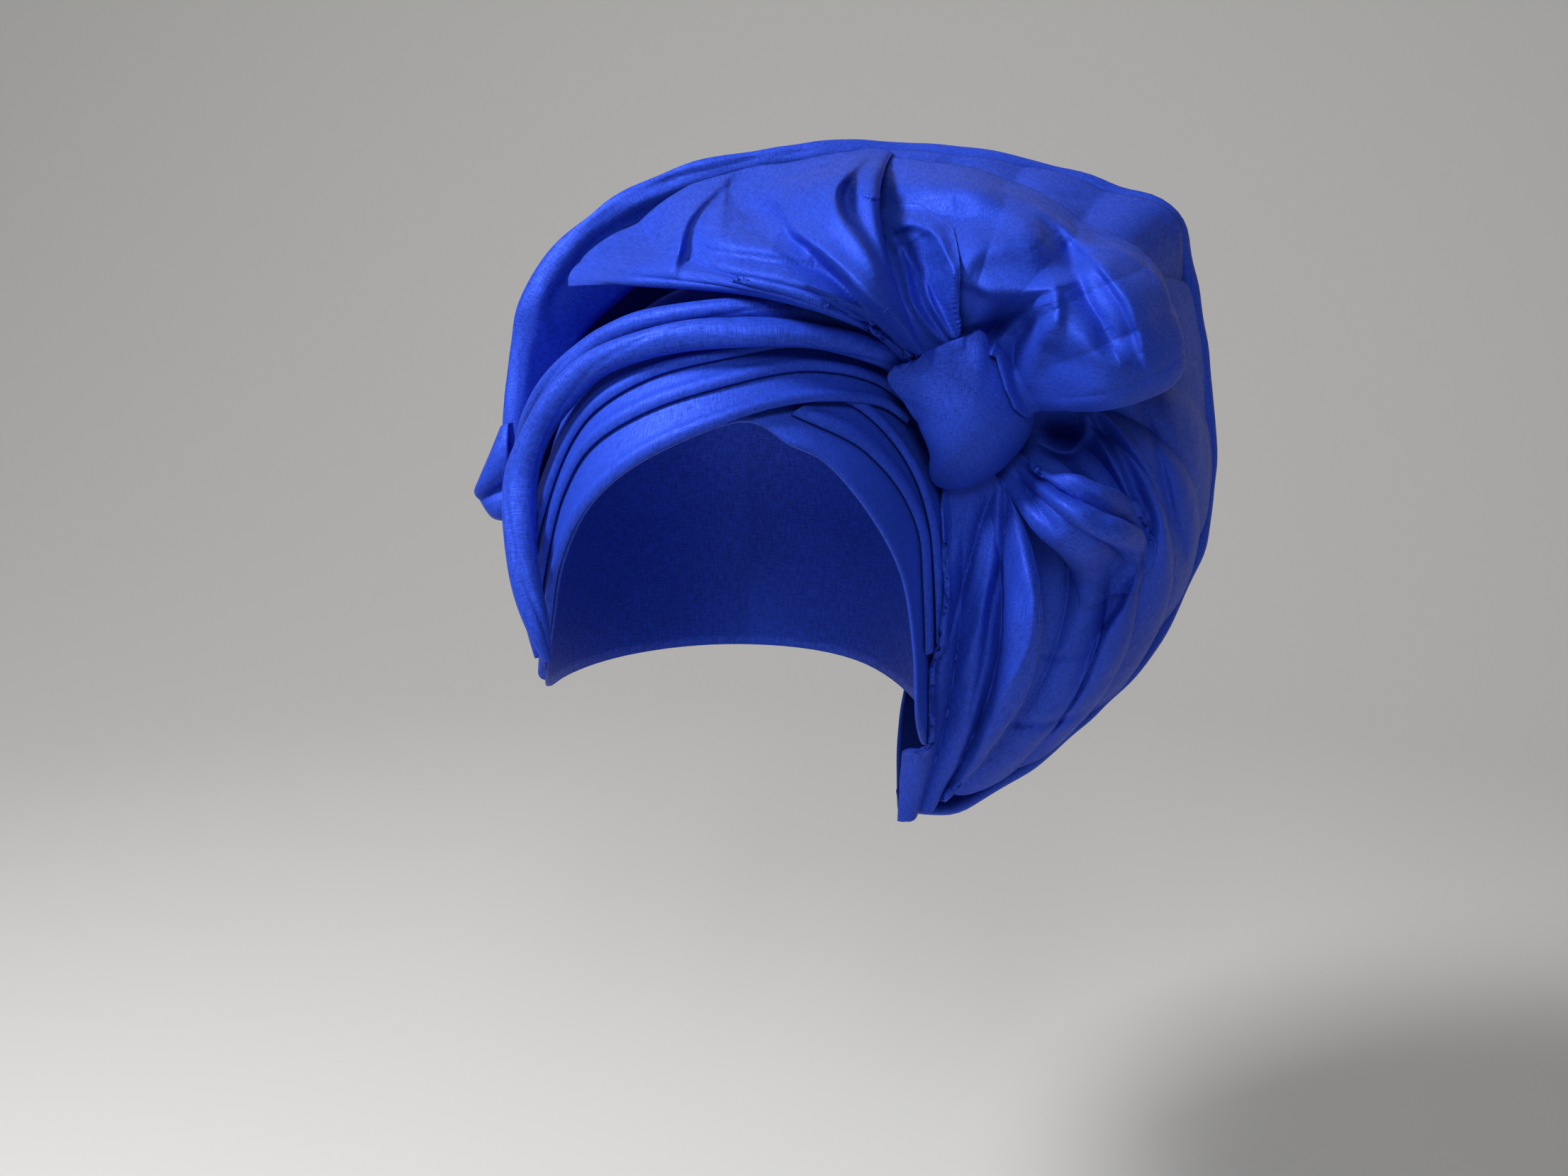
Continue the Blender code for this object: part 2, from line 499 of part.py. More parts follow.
def make_knot_strap():
    """Strap: spokes of a low dome, laid over the gathers that come out from under it."""
    spokes = [[strap_point(i * 18, j / 4) for j in range(5)] for i in range(20)]
    spokes = laid_over(spokes + spokes[:1], GATHERS, FORWARD)[:20]
    middle = min((line[0] for line in spokes), key=lambda point: point.y)
    for line in spokes:
        line[0] = middle
    sheet("knot_strap", spokes, -1, closed=True)


def make_left_tail():
    """Small folded end: a flat pouch of cloth that comes out behind the rolls."""
    grid = []
    for row in TAIL:
        line = []
        for j in range(7):
            angle = math.pi * j / 6
            out = TAIL_STAND * row.stand * math.sin(angle) ** 0.8
            level = row.root_level + (row.level - row.root_level) * math.sin(angle)
            line.append(Vector((-HEAD_HALF_WIDTH - TAIL_ROOT - out,
                                -TAIL_FORWARD - TAIL_DEPTH * row.full * math.cos(angle),
                                TAIL_TOP - TAIL_DROP * level)))
        grid.append(line)
    sheet("left_tail", laid_over(grid, ["roll_low", "roll_high", "crown_back"], (-0.3, -1, 0)), -1)


def main():
    for old in list(bpy.data.objects):
        bpy.data.objects.remove(old)
    parts = bpy.data.collections.new("gele_head_tie")
    bpy.context.scene.collection.children.link(parts)

    make_under_wrap()
    head_strip("under_pleat_inner", PLEAT_INNER_EDGE, PLEAT_END_EDGE, 1.1, 1, 3)
    head_strip("under_pleat_outer", PLEAT_OUTER_EDGE, PLEAT_END_EDGE, 2.1, 2.2, 3)
    head_strip("front_band_low", BAND_LOW_EDGE, between(BAND_MID_EDGE, BAND_HIGH_EDGE, 0.6), 1, 3.4, 3)
    head_strip("front_band_mid", BAND_MID_EDGE, between(BAND_HIGH_EDGE, BAND_TOP_EDGE, 0.6), 2, 4.4, 3)
    head_strip("front_band_high", BAND_HIGH_EDGE, BAND_TOP_EDGE, 3, 5.4, 3)
    rolled("roll_low", ROLL_LOW, ROLL_LOW_RADIUS, 4, 6.4)
    rolled("roll_high", ROLL_HIGH, ROLL_HIGH_RADIUS, 4, 6.4)
    make_crown_back()
    for row in GATHERED:
        grid = gathered_grid(row.rows, row.behind, row.hold)
        for below, way in row.lies_on:
            grid = laid_over(grid, below, way)
        sheet(row.name, grid, -1)
    make_knot_strap()
    make_left_tail()


main()
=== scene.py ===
import math
from collections import namedtuple

import bmesh
import bpy
import numpy as np
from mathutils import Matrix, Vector, noise
from mathutils.bvhtree import BVHTree


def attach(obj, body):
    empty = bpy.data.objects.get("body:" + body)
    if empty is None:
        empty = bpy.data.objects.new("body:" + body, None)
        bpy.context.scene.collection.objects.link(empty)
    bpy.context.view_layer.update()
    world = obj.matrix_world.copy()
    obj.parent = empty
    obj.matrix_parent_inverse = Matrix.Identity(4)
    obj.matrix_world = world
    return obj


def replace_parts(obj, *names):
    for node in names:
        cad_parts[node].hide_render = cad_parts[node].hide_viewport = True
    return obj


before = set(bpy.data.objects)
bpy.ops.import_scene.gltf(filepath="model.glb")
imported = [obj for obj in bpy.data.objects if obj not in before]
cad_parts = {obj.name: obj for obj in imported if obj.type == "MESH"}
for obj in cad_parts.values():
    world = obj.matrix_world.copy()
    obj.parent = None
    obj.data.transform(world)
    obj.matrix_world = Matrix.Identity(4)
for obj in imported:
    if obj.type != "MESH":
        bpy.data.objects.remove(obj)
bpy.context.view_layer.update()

bpy.ops.object.select_all(action="DESELECT")

# Under wrap.
# The first turn of the cloth: stiff polyester taffeta pulled smooth over the skull, open at the face
# and at the neck. All the other turns and folds lie on it.

HEAD_HALF_WIDTH = 0.076
HEAD_HALF_DEPTH = 0.097
HEAD_RISE = 0.104
NECK_TAPER = 0.12
WALL = 0.0012
STEP = 0.0020               # from one turn to the next
RAD = math.pi / 180

Edge = namedtuple("Edge", "turn rise")
FACE_EDGE = [
    Edge(-180, -34), Edge(-140, -33), Edge(-105, -31), Edge(-84, -28), Edge(-71, -21), Edge(-60, -9),
    Edge(-52, 5), Edge(-41, 18), Edge(-23, 28), Edge(2, 35), Edge(16, 30), Edge(26, 26),
    Edge(38, 15), Edge(48, 2), Edge(54, -13), Edge(60, -31), Edge(74, -40), Edge(105, -39),
    Edge(140, -35), Edge(180, -34)]


def along_rows(rows, places):
    """Smooth curve through the rows of a table; places counts rows, and may be an array."""
    table = np.array(rows, float)
    places = np.asarray(places, float)
    last = len(table) - 1
    k = np.clip(places.astype(int), 0, last - 1)
    w = (places - k)[..., None]
    p, q, r, s = (table[np.clip(k + step, 0, last)] for step in (-1, 0, 1, 2))
    return 0.5 * (2 * q + (r - p) * w + (2 * p - 5 * q + 4 * r - s) * w ** 2 + (3 * q - p - 3 * r + s) * w ** 3)


def ease(share):
    share = np.clip(share, 0, 1)
    return share * share * (3 - 2 * share)


def on_head(turn, rise, off):
    """Points off the head form: turn from the face to the viewer's right, rise above the hat band."""
    t, r = np.asarray(turn) * RAD, np.asarray(rise) * RAD
    girth = np.where(r >= 0, np.cos(r), 1 - NECK_TAPER * np.sin(r) ** 2)
    return np.stack(np.broadcast_arrays((HEAD_HALF_WIDTH + off) * girth * np.sin(t),
                                        -(HEAD_HALF_DEPTH + off) * girth * np.cos(t),
                                        (HEAD_RISE + off) * np.sin(r)), -1)


def srgb(code):
    """Linear colour from an sRGB hex value."""
    parts = [int(code[i:i + 2], 16) / 255 for i in (1, 3, 5)]
    return (*[c / 12.92 if c <= 0.04045 else ((c + 0.055) / 1.055) ** 2.4 for c in parts], 1)


def add_node(tree, kind, inputs=(), **settings):
    """Add a node, with its settings, its input values and its links."""
    node = tree.nodes.new(kind)
    for key, value in settings.items():
        setattr(node, key, value)
    for key, value in dict(inputs).items():
        if isinstance(value, bpy.types.NodeSocket):
            tree.links.new(value, node.inputs[key])
        else:
            node.inputs[key].default_value = value
    return node


# Polyester taffeta, woven of fine bright filament with slubs: crisp, with a soft satin sheen. The
# threads are about 0.2 mm apart, too fine to show, so the slubs are drawn, 0.5 mm by 6 mm.
def woven_taffeta(name, light="#2A4CCE", shade="#1B369E", slub=1.0):
    material = bpy.data.materials.new(name)
    material.use_nodes = True
    tree = material.node_tree
    shader = tree.nodes["Principled BSDF"]
    shader.inputs["Roughness"].default_value = 0.4
    shader.inputs["IOR"].default_value = 1.35
    shader.inputs["Metallic"].default_value = 0.25
    shader.inputs["Specular IOR Level"].default_value = 0.2
    shader.inputs["Sheen Weight"].default_value = 0.01
    shader.inputs["Sheen Roughness"].default_value = 0.35
    shader.inputs["Sheen Tint"].default_value = srgb("#6F86FF")
    place = add_node(tree, "ShaderNodeTexCoord").outputs["UV"]
    threads = []
    for scale in ((420, 2100, 1), (2100, 300, 1)):
        stretched = add_node(tree, "ShaderNodeMapping", {"Vector": place, "Scale": scale})
        threads.append(add_node(tree, "ShaderNodeTexNoise", {"Vector": stretched.outputs[0], "Scale": 1.0,
                                                             "Detail": 3.0, "Roughness": 0.6}).outputs["Fac"])
    both = add_node(tree, "ShaderNodeMath", {0: threads[0], 1: threads[1]}, operation="ADD").outputs[0]
    patch = add_node(tree, "ShaderNodeTexNoise", {"Vector": place, "Scale": 22.0, "Detail": 4.0}).outputs["Fac"]
    share = add_node(tree, "ShaderNodeMapRange", {"Value": both, "From Min": 0.75, "From Max": 1.25,
                                                  "To Min": 0.5 - 0.5 * slub, "To Max": 0.5 + 0.5 * slub}).outputs[0]
    blotch = add_node(tree, "ShaderNodeMapRange", {"Value": patch, "From Min": 0.3, "From Max": 0.7,
                                                   "To Min": -0.25, "To Max": 0.25}).outputs[0]
    mixed = add_node(tree, "ShaderNodeMath", {0: share, 1: blotch}, operation="ADD", use_clamp=True).outputs[0]
    colour = add_node(tree, "ShaderNodeMix", {"Factor": mixed, 6: srgb(shade), 7: srgb(light)}, data_type="RGBA")
    tree.links.new(colour.outputs[2], shader.inputs["Base Color"])
    rough = add_node(tree, "ShaderNodeMapRange", {"Value": both, "From Min": 0.75, "From Max": 1.25,
                                                  "To Min": 0.6, "To Max": 0.44}).outputs[0]
    tree.links.new(rough, shader.inputs["Roughness"])
    bump = add_node(tree, "ShaderNodeBump", {"Height": both, "Strength": 0.6 * slub, "Distance": 0.00025})
    tree.links.new(bump.outputs[0], shader.inputs["Normal"])
    return material


TAFFETA = woven_taffeta("polyester_taffeta_woven")
LAID = {}                   # finished pieces, for those that lie over them


def tree_of(grid):
    """A tree for rays at a grid of points."""
    rows, cols = grid.shape[:2]
    number = np.arange(rows * cols).reshape(rows, cols)
    faces = np.stack([number[:-1, :-1], number[1:, :-1], number[1:, 1:], number[:-1, 1:]], -1)
    return BVHTree.FromPolygons(grid.reshape(-1, 3).tolist(), faces.reshape(-1, 4).tolist())


def normals_of(grid, closed=False):
    """Normals of a grid of points, from its rows across and its columns along."""
    across = (np.roll(grid, -1, 0) - np.roll(grid, 1, 0)) if closed else np.gradient(grid, axis=0)
    normal = np.cross(across, np.gradient(grid, axis=1))
    size = np.linalg.norm(normal, axis=-1, keepdims=True)
    return normal / np.maximum(size, 1e-9)


def cloth(name, grid, flat, closed=False, grow=-1, wall=WALL, material=TAFFETA):
    """A sheet of cloth on a grid of points, cut to flat; its wall grows with the normals or against them."""
    rows, cols = grid.shape[:2]
    number = np.arange(rows * cols).reshape(rows, cols)
    if closed:
        number = np.vstack([number, number[:1]])
    faces = np.stack([number[:-1, :-1], number[1:, :-1], number[1:, 1:], number[:-1, 1:]], -1)
    mesh = bpy.data.meshes.new(name)
    mesh.from_pydata(grid.reshape(-1, 3).tolist(), [], faces.reshape(-1, 4).tolist())
    u, v = np.meshgrid(np.linspace(0, flat[0], faces.shape[0] + 1), np.linspace(0, flat[1], cols), indexing="ij")
    uv = np.stack([u, v], -1)
    corners = np.stack([uv[:-1, :-1], uv[1:, :-1], uv[1:, 1:], uv[:-1, 1:]], 2)
    mesh.uv_layers.new(name="cloth").data.foreach_set("uv", corners.reshape(-1))
    piece = bpy.data.objects.new(name, mesh)
    bpy.context.scene.collection.objects.link(piece)
    mesh.shade_smooth()
    mesh.materials.append(material)
    thick = piece.modifiers.new("wall", "SOLIDIFY")
    thick.thickness = wall
    thick.offset = grow
    view = bpy.context.evaluated_depsgraph_get()
    view.update()
    solid = piece.evaluated_get(view).to_mesh()
    LAID[name] = BVHTree.FromPolygons([v.co.copy() for v in solid.vertices], [tuple(p.vertices) for p in solid.polygons])
    spread = sum(p.area for p in solid.polygons) / 2
    print(f"CLOTH {name} one layer {spread:.4f} m2, flat {flat[0] * flat[1]:.4f}, faces {2 * len(solid.polygons)}")
    piece.evaluated_get(view).to_mesh_clear()
    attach(piece, "root")
    return piece


place = np.linspace(0, len(FACE_EDGE) - 1, 153)[:-1]
edge = along_rows(FACE_EDGE, place)
up = np.linspace(0, 1, 60)[None, :] ** 0.92
skull = on_head(edge[:, :1] + 0 * up, edge[:, 1:] + (89.5 - edge[:, 1:]) * up, 0.0)
piece = cloth("head_wrap", skull, (0.52, 0.17), closed=True, grow=1)
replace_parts(piece, "under_wrap")



# Brow pleats.
# Flat pleats of the same cloth, pressed by hand and pinned in steps across the brow: three from the
# viewer's left, over two that come up the right side. Each upper one laps over the one below.

BAND_LOW_EDGE = [Edge(-71, -22), Edge(-60, -10), Edge(-52, 4), Edge(-41, 17), Edge(-23, 27.5), Edge(0, 34.5),
                 Edge(16, 37), Edge(31, 37), Edge(46, 35), Edge(55, 31)]
BAND_MID_EDGE = [Edge(-69, -14), Edge(-58, 2), Edge(-51, 18), Edge(-42, 28), Edge(-23, 36), Edge(0, 41),
                 Edge(18, 43), Edge(33, 42), Edge(46, 39), Edge(55, 34.5)]
BAND_HIGH_EDGE = [Edge(-66, -4), Edge(-58, 12), Edge(-51, 27), Edge(-42, 35), Edge(-24, 42), Edge(0, 46),
                  Edge(18, 47.5), Edge(33, 46), Edge(46, 43), Edge(55, 38)]
BAND_TOP_EDGE = [Edge(-66, 10), Edge(-58, 26), Edge(-51, 38), Edge(-42, 45), Edge(-24, 51), Edge(0, 54),
                 Edge(18, 54), Edge(33, 52), Edge(46, 47), Edge(55, 41)]
PLEAT_INNER_EDGE = [Edge(17, 36), Edge(34, 30), Edge(43, 24.5), Edge(50, 18), Edge(55, 10), Edge(56, 1),
                    Edge(59, -14)]
PLEAT_OUTER_EDGE = [Edge(30, 39), Edge(40, 35), Edge(49, 28), Edge(55, 20), Edge(58, 11), Edge(59, 2),
                    Edge(62, -12)]
PLEAT_END_EDGE = [Edge(44, 42), Edge(53, 37), Edge(60, 29), Edge(66, 20), Edge(69, 11), Edge(70, 2),
                  Edge(72, -10)]

Pleat = namedtuple("Pleat", "name node lower upper reach first last flat")
PLEATS = [
    Pleat("brow_pleat_right_inner", "under_pleat_inner", PLEAT_INNER_EDGE, PLEAT_END_EDGE, 1.0, 1.1, 1.0, (0.10, 0.03)),
    Pleat("brow_pleat_right_outer", "under_pleat_outer", PLEAT_OUTER_EDGE, PLEAT_END_EDGE, 1.0, 2.1, 2.2, (0.09, 0.02)),
    Pleat("brow_pleat_low", "front_band_low", BAND_LOW_EDGE, BAND_HIGH_EDGE, 0.8, 1.0, 3.4, (0.18, 0.02)),
    Pleat("brow_pleat_mid", "front_band_mid", BAND_MID_EDGE, BAND_TOP_EDGE, 0.8, 2.0, 4.4, (0.17, 0.02)),
    Pleat("brow_pleat_high", "front_band_high", BAND_HIGH_EDGE, BAND_TOP_EDGE, 1.0, 3.0, 5.4, (0.16, 0.016))]

for pleat in PLEATS:
    place = np.linspace(0, len(pleat.lower) - 1, 180)
    low, high = along_rows(pleat.lower, place), along_rows(pleat.upper, place)
    layer = STEP * (pleat.first + (pleat.last - pleat.first) * ease(np.linspace(0, 1, 180)))[:, None]
    over = np.linspace(0, 1, 24)[None, :] ** 1.5
    side = low[:, None, :] + (high - low)[:, None, :] * over[..., None] * pleat.reach
    # the folded edge is full and round, and the cloth lies flatter above it
    layer = layer + 0.0011 * np.exp(-((over - 0.1) / 0.1) ** 2) - 0.0007 * np.exp(-over / 0.02)
    piece = cloth(pleat.name, on_head(side[..., 0], side[..., 1], layer), pleat.flat,
                  grow=1, wall=0.001)
    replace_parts(piece, pleat.node)


# Rolls.
# Two turns of the cloth twisted into soft rolls above the brow, which run from the tail at the viewer's
# left over the pleats into the knot. The twist leaves long slanting creases along them.

ROLL_LOW_RADIUS = 0.0050
ROLL_HIGH_RADIUS = 0.0043
Roll = namedtuple("Roll", "turn rise size")
ROLL_LOW = [
    Roll(-50, -12, 0.35), Roll(-51, -6, 0.75), Roll(-54, 1, 1.0), Roll(-57, 9, 1.1), Roll(-60, 19, 1.2),
    Roll(-57, 27, 1.15), Roll(-51, 34, 1.05), Roll(-42, 40.5, 0.95), Roll(-25, 45, 0.95), Roll(-8, 47, 0.95),
    Roll(14, 47, 0.95), Roll(33, 44.5, 0.9), Roll(50, 40.5, 0.8), Roll(62, 37, 0.55)]
ROLL_HIGH = [
    Roll(-84, 12, 0.4), Roll(-80, 22, 0.75), Roll(-67, 33, 1.0), Roll(-55, 41.5, 1.0), Roll(-46, 46, 1.0),
    Roll(-29, 50.5, 1.0), Roll(0, 52.5, 1.0), Roll(27, 51, 1.0), Roll(47, 46.5, 0.85), Roll(64, 41.5, 0.55)]


def rolled(name, rows, radius, twist, flat):
    """A filled roll of cloth along a line off the head form, with creases that wind along it."""
    count, ring = 260, 40
    share = np.linspace(0, 1, count)
    row = along_rows(rows, share * (len(rows) - 1))
    size = radius * row[:, 2]
    middle = on_head(row[:, 0], row[:, 1], STEP * (4 + 2.4 * ease(share)) + size)
    way = np.gradient(middle, axis=0)
    way /= np.linalg.norm(way, axis=1, keepdims=True)
    out = middle - on_head(row[:, 0], row[:, 1], -0.02)
    out -= way * (out * way).sum(1, keepdims=True)
    out /= np.linalg.norm(out, axis=1, keepdims=True)
    side = np.cross(way, out)
    turn = np.linspace(0, 2 * np.pi, ring + 1)[None, :]
    phase = turn + twist * share[:, None] * 2 * np.pi
    swell = 1 + 0.07 * np.sin(2 * phase) - 0.13 * np.exp(-((np.mod(phase, 2 * np.pi) - 2.2) / 0.22) ** 2) \
        - 0.08 * np.exp(-((np.mod(phase + 0.6 * np.sin(9 * share[:, None]), 2 * np.pi) - 4.6) / 0.16) ** 2)
    swell = swell * (1 + 0.04 * np.sin(31 * share[:, None] + 2 * turn))
    reach = size[:, None] * swell
    grid = middle[:, None] + reach[..., None] * (np.cos(turn)[..., None] * out[:, None] + np.sin(turn)[..., None] * side[:, None])
    grid[:, -1] = grid[:, 0]
    mesh = bpy.data.meshes.new(name)
    number = np.arange(count * (ring + 1)).reshape(count, ring + 1)
    faces = np.stack([number[:-1, :-1], number[:-1, 1:], number[1:, 1:], number[1:, :-1]], -1)
    mesh.from_pydata(grid.reshape(-1, 3).tolist(), [], faces.reshape(-1, 4).tolist())
    u, v = np.meshgrid(np.linspace(0, flat[1], count), np.linspace(0, flat[0], ring + 1), indexing="ij")
    uv = np.stack([v, u], -1)
    corners = np.stack([uv[:-1, :-1], uv[:-1, 1:], uv[1:, 1:], uv[1:, :-1]], 2)
    mesh.uv_layers.new(name="cloth").data.foreach_set("uv", corners.reshape(-1))
    bm = bmesh.new()
    bm.from_mesh(mesh)
    bmesh.ops.remove_doubles(bm, verts=bm.verts, dist=0.00002)
    bmesh.ops.holes_fill(bm, edges=[e for e in bm.edges if e.is_boundary], sides=0)
    bmesh.ops.recalc_face_normals(bm, faces=bm.faces)
    bm.to_mesh(mesh)
    bm.free()
    mesh.shade_smooth()
    mesh.materials.append(TAFFETA)
    piece = bpy.data.objects.new(name, mesh)
    bpy.context.scene.collection.objects.link(piece)
    LAID[name] = BVHTree.FromPolygons([v.co.copy() for v in mesh.vertices], [tuple(p.vertices) for p in mesh.polygons])
    print(f"CLOTH {name} one layer {sum(p.area for p in mesh.polygons) / 2:.4f} m2, flat {flat[0] * flat[1]:.4f}")
    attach(piece, "root")
    return piece


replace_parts(rolled("roll_lower", ROLL_LOW, ROLL_LOW_RADIUS, 1.2, (0.015, 0.24)), "roll_low")
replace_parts(rolled("roll_upper", ROLL_HIGH, ROLL_HIGH_RADIUS, 0.9, (0.013, 0.21)), "roll_high")


# Crown bag.
# The loose end of the wide cloth, puffed up over the back of the head as a bag and tucked in at the
# nape. Its front edge is turned in round a firm rim, and long folds run from the rim to the tuck.

LEFT_EDGE, RIGHT_EDGE, TOP_EDGE, LOW_EDGE = -0.094, 0.192, 0.155, -0.118
RIM_SET_BACK = 0.046
CROWN_BACK = 0.052
RIM_CURL = 0.006
NAPE_RISE = -29.0
CROWN_X, CROWN_Z = (LEFT_EDGE + RIGHT_EDGE) / 2, (TOP_EDGE + LOW_EDGE) / 2
CROWN_HALF_WIDTH, CROWN_HALF_HEIGHT = (RIGHT_EDGE - LEFT_EDGE) / 2, (TOP_EDGE - LOW_EDGE) / 2

Rim = namedtuple("Rim", "angle reach back")
RIM = [
    Rim(-84, 0.95, 0.52), Rim(-75, 1.0, 0.6), Rim(-65, 0.97, 0.66), Rim(-49, 0.95, 0.78), Rim(-31, 0.96, 0.88),
    Rim(-11, 0.985, 0.98), Rim(2, 0.995, 1.0), Rim(19, 1.02, 1.0), Rim(35, 1.1, 0.95), Rim(44, 1.155, 0.7),
    Rim(53, 1.1, 0.8), Rim(61, 1.065, 0.82), Rim(76, 1.01, 0.8), Rim(96, 1.005, 0.74), Rim(110, 1.025, 0.7),
    Rim(122, 1.07, 0.65), Rim(138, 1.1, 0.56), Rim(150, 1.085, 0.48), Rim(165, 1.01, 0.33),
    Rim(180, 0.965, 0.24), Rim(193, 0.975, 0.2), Rim(208, 1.02, 0.2)]
Bag = namedtuple("Bag", "angle lip lip_back belly nape")
CROWN_BAG = [
    Bag(-84, 0.05, 0.1, 0.1, 118), Bag(-65, 0.06, 0.1, 0.4, 126), Bag(-45, 0.06, 0.1, 0.7, 135),
    Bag(-22, 0.06, 0.1, 0.9, 146), Bag(2, 0.06, 0.1, 1.0, 156), Bag(25, 0.06, 0.1, 1.0, 164),
    Bag(44, 0.06, 0.1, 0.9, 170), Bag(66, 0.06, 0.1, 1.0, 176), Bag(90, 0.08, 0.1, 1.0, 182),
    Bag(112, 0.14, 0.3, 1.0, 190), Bag(134, 0.2, 0.4, 0.95, 200), Bag(154, 0.14, 0.3, 0.9, 212),
    Bag(174, 0.05, 0.1, 0.75, 224), Bag(192, 0.04, 0.1, 0.5, 236), Bag(206, 0.02, 0.1, 0.25, 246)]


def rim_point(angle, inside=1.0, back=1.0):
    """Points on the crown's rim, or inside it by a share of its reach."""
    angle = np.asarray(angle, float)
    fine = along_rows(RIM, np.linspace(0, len(RIM) - 1, 600))
    reach = np.interp(angle, fine[:, 0], fine[:, 1]) * inside
    depth = np.interp(angle, fine[:, 0], fine[:, 2])
    return np.stack([CROWN_X + CROWN_HALF_WIDTH * reach * np.cos(angle * RAD),
                     RIM_SET_BACK * depth * back + 0 * reach,
                     CROWN_Z + CROWN_HALF_HEIGHT * reach * np.sin(angle * RAD)], -1)


MM = 0.001
EYE = np.array((0.016, -0.600, 0.115))      # where the photographer stood
CREST = 1.3                 # mm, half the width of the brow of a fold that drops
Fold = namedtuple("Fold", "height left right fall places")


def folded(grid, folds, weight=1.0):
    """Press the folds of a table into a sheet. A fold runs along its places, x and z in mm as the
    photographer sees them on the plane through the ears. It stands height proud and spreads left and
    right, in mm, of its way; right of it the cloth falls to that share of the height, below 0 into a
    hollow. A negative height is a crease."""
    way = grid - EYE
    spots = (EYE + way * (-EYE[1] / way[..., 1:2]))[..., ::2] / MM
    rise = np.zeros(grid.shape[:2])
    for fold in folds:
        share = np.linspace(0, 1, 50)
        line = along_rows(fold.places, share * (len(fold.places) - 1))
        run = np.gradient(line, axis=0)
        run /= np.linalg.norm(run, axis=1, keepdims=True)
        gap = spots[:, :, None] - line
        near = np.argmin((gap ** 2).sum(-1), -1)
        gap = np.take_along_axis(gap, near[..., None, None], 2)[:, :, 0]
        off = run[near, 0] * gap[..., 1] - run[near, 1] * gap[..., 0]
        level = np.exp(-(np.hypot(gap[..., 0], gap[..., 1]) / np.where(off > 0, fold.left, fold.right))
                       ** (2.0 if fold.height > 0 else 1.6))
        side = 0.5 + 0.5 * np.tanh(off / CREST)
        rise += fold.height * level * (side + (1 - side) * fold.fall) * np.sin(np.pi * (0.06 + 0.88 * share[near])) ** 0.6
    return grid - way / np.linalg.norm(way, axis=-1, keepdims=True) * (rise * weight * MM)[..., None]


def bezier(a, b, c, d, t):
    a, b, c, d = (np.asarray(p, float)[..., None, :] for p in (a, b, c, d))
    t = np.asarray(t, float)[:, None]
    s = 1 - t
    return a * s ** 3 + b * 3 * s * s * t + c * 3 * s * t * t + d * t ** 3


def crumpled(grid, size, height, seed, closed=False):
    """Small hand-made crumples over a grid, size apart and height high, along its normals."""
    normal = normals_of(grid, closed)
    height = np.broadcast_to(height, grid.shape[:2])
    out = grid.copy()
    for i in range(grid.shape[0]):
        for j in range(grid.shape[1]):
            spot = Vector(grid[i, j]) / size + Vector((seed * 7.3, seed * 3.1, 0))
            out[i, j] += normal[i, j] * height[i, j] * (noise.noise(spot) + 0.5 * noise.noise(spot * 2.1))
    return out


row = along_rows(CROWN_BAG, np.linspace(0, len(CROWN_BAG) - 1, 220))
angle = row[:, 0]
rim = rim_point(angle)
lip = rim_point(angle, 1 - row[:, 1])
lip[:, 1] = rim[:, 1] + RIM_SET_BACK * row[:, 2]
out = (rim - np.stack([0 * angle + CROWN_X, rim[:, 1], 0 * angle + CROWN_Z], -1)) * 0.01
depth = HEAD_HALF_DEPTH + CROWN_BACK
nape = on_head(row[:, 4], NAPE_RISE, 0.0035)
shoulder = np.stack([rim[:, 0], rim[:, 1] + (depth - rim[:, 1]) * row[:, 3], rim[:, 2]], -1) - out * 2
belly = np.stack([(rim[:, 0] + nape[:, 0]) / 2, nape[:, 1] + (depth - nape[:, 1]) * row[:, 3] * 1.25,
                  (rim[:, 2] + nape[:, 2]) / 2], -1)
crest = rim + (lip - rim) * 0.3 - np.array([0, RIM_CURL, 0])
front = bezier(lip, lip + (crest - lip) * 0.7, crest, rim, np.linspace(0, 1, 16)[:-1])
rear = bezier(rim, shoulder, belly, nape, np.linspace(0, 1, 120))
bag = np.concatenate([front, rear], 1)
normal = normals_of(bag)
share = np.concatenate([np.zeros(15), np.linspace(0, 1, 120)])[None, :]
fold = np.sin(angle[:, None] * RAD * 17 + 2.4 * np.sin(angle[:, None] * RAD * 3.1) + 1.2 * share)
fold = (fold + 0.45 * np.sin(angle[:, None] * RAD * 31 + 1.7)) * (0.0003 + 0.0022 * ease((share - 0.25) / 0.7))
bag = bag - normal * (fold * (1 - 0.75 * ease((share - 0.93) / 0.07)))[..., None]
RIM_FOLDS = [
    Fold(-1.6, 1.2, 1.2, 1, [(-67, 114), (-50, 127), (-27, 139), (-8, 144), (6, 147), (36, 151), (60, 152)]),
    Fold(1.5, 3.0, 3.0, 1, [(-78, 92), (-69, 109), (-53, 127), (-36, 133), (-10, 140)]),
    Fold(2.5, 3.5, 6.0, -0.5, [(-68, 76), (-72, 84), (-73, 95), (-67, 105), (-55, 119), (-38, 129), (-18, 136)]),
    Fold(1.2, 1.0, 3.0, 0, [(-81, 63), (-79, 76), (-76, 90)]),
    Fold(-1.0, 1.5, 1.5, 1, [(-87, 60), (-86, 74), (-82, 89)]),
    Fold(1.5, 3.0, 3.0, 1, [(82, -102), (105, -93), (128, -74), (148, -55), (160, -36)])]
bag = folded(bag, RIM_FOLDS, np.concatenate([np.ones(15), 1 - ease(np.linspace(0, 6, 120))])[None, :])
bag = crumpled(bag, 0.03, 0.0011, 3)
piece = cloth("crown_bag", bag, (0.46, 0.28), grow=-1)
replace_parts(piece, "crown_back")


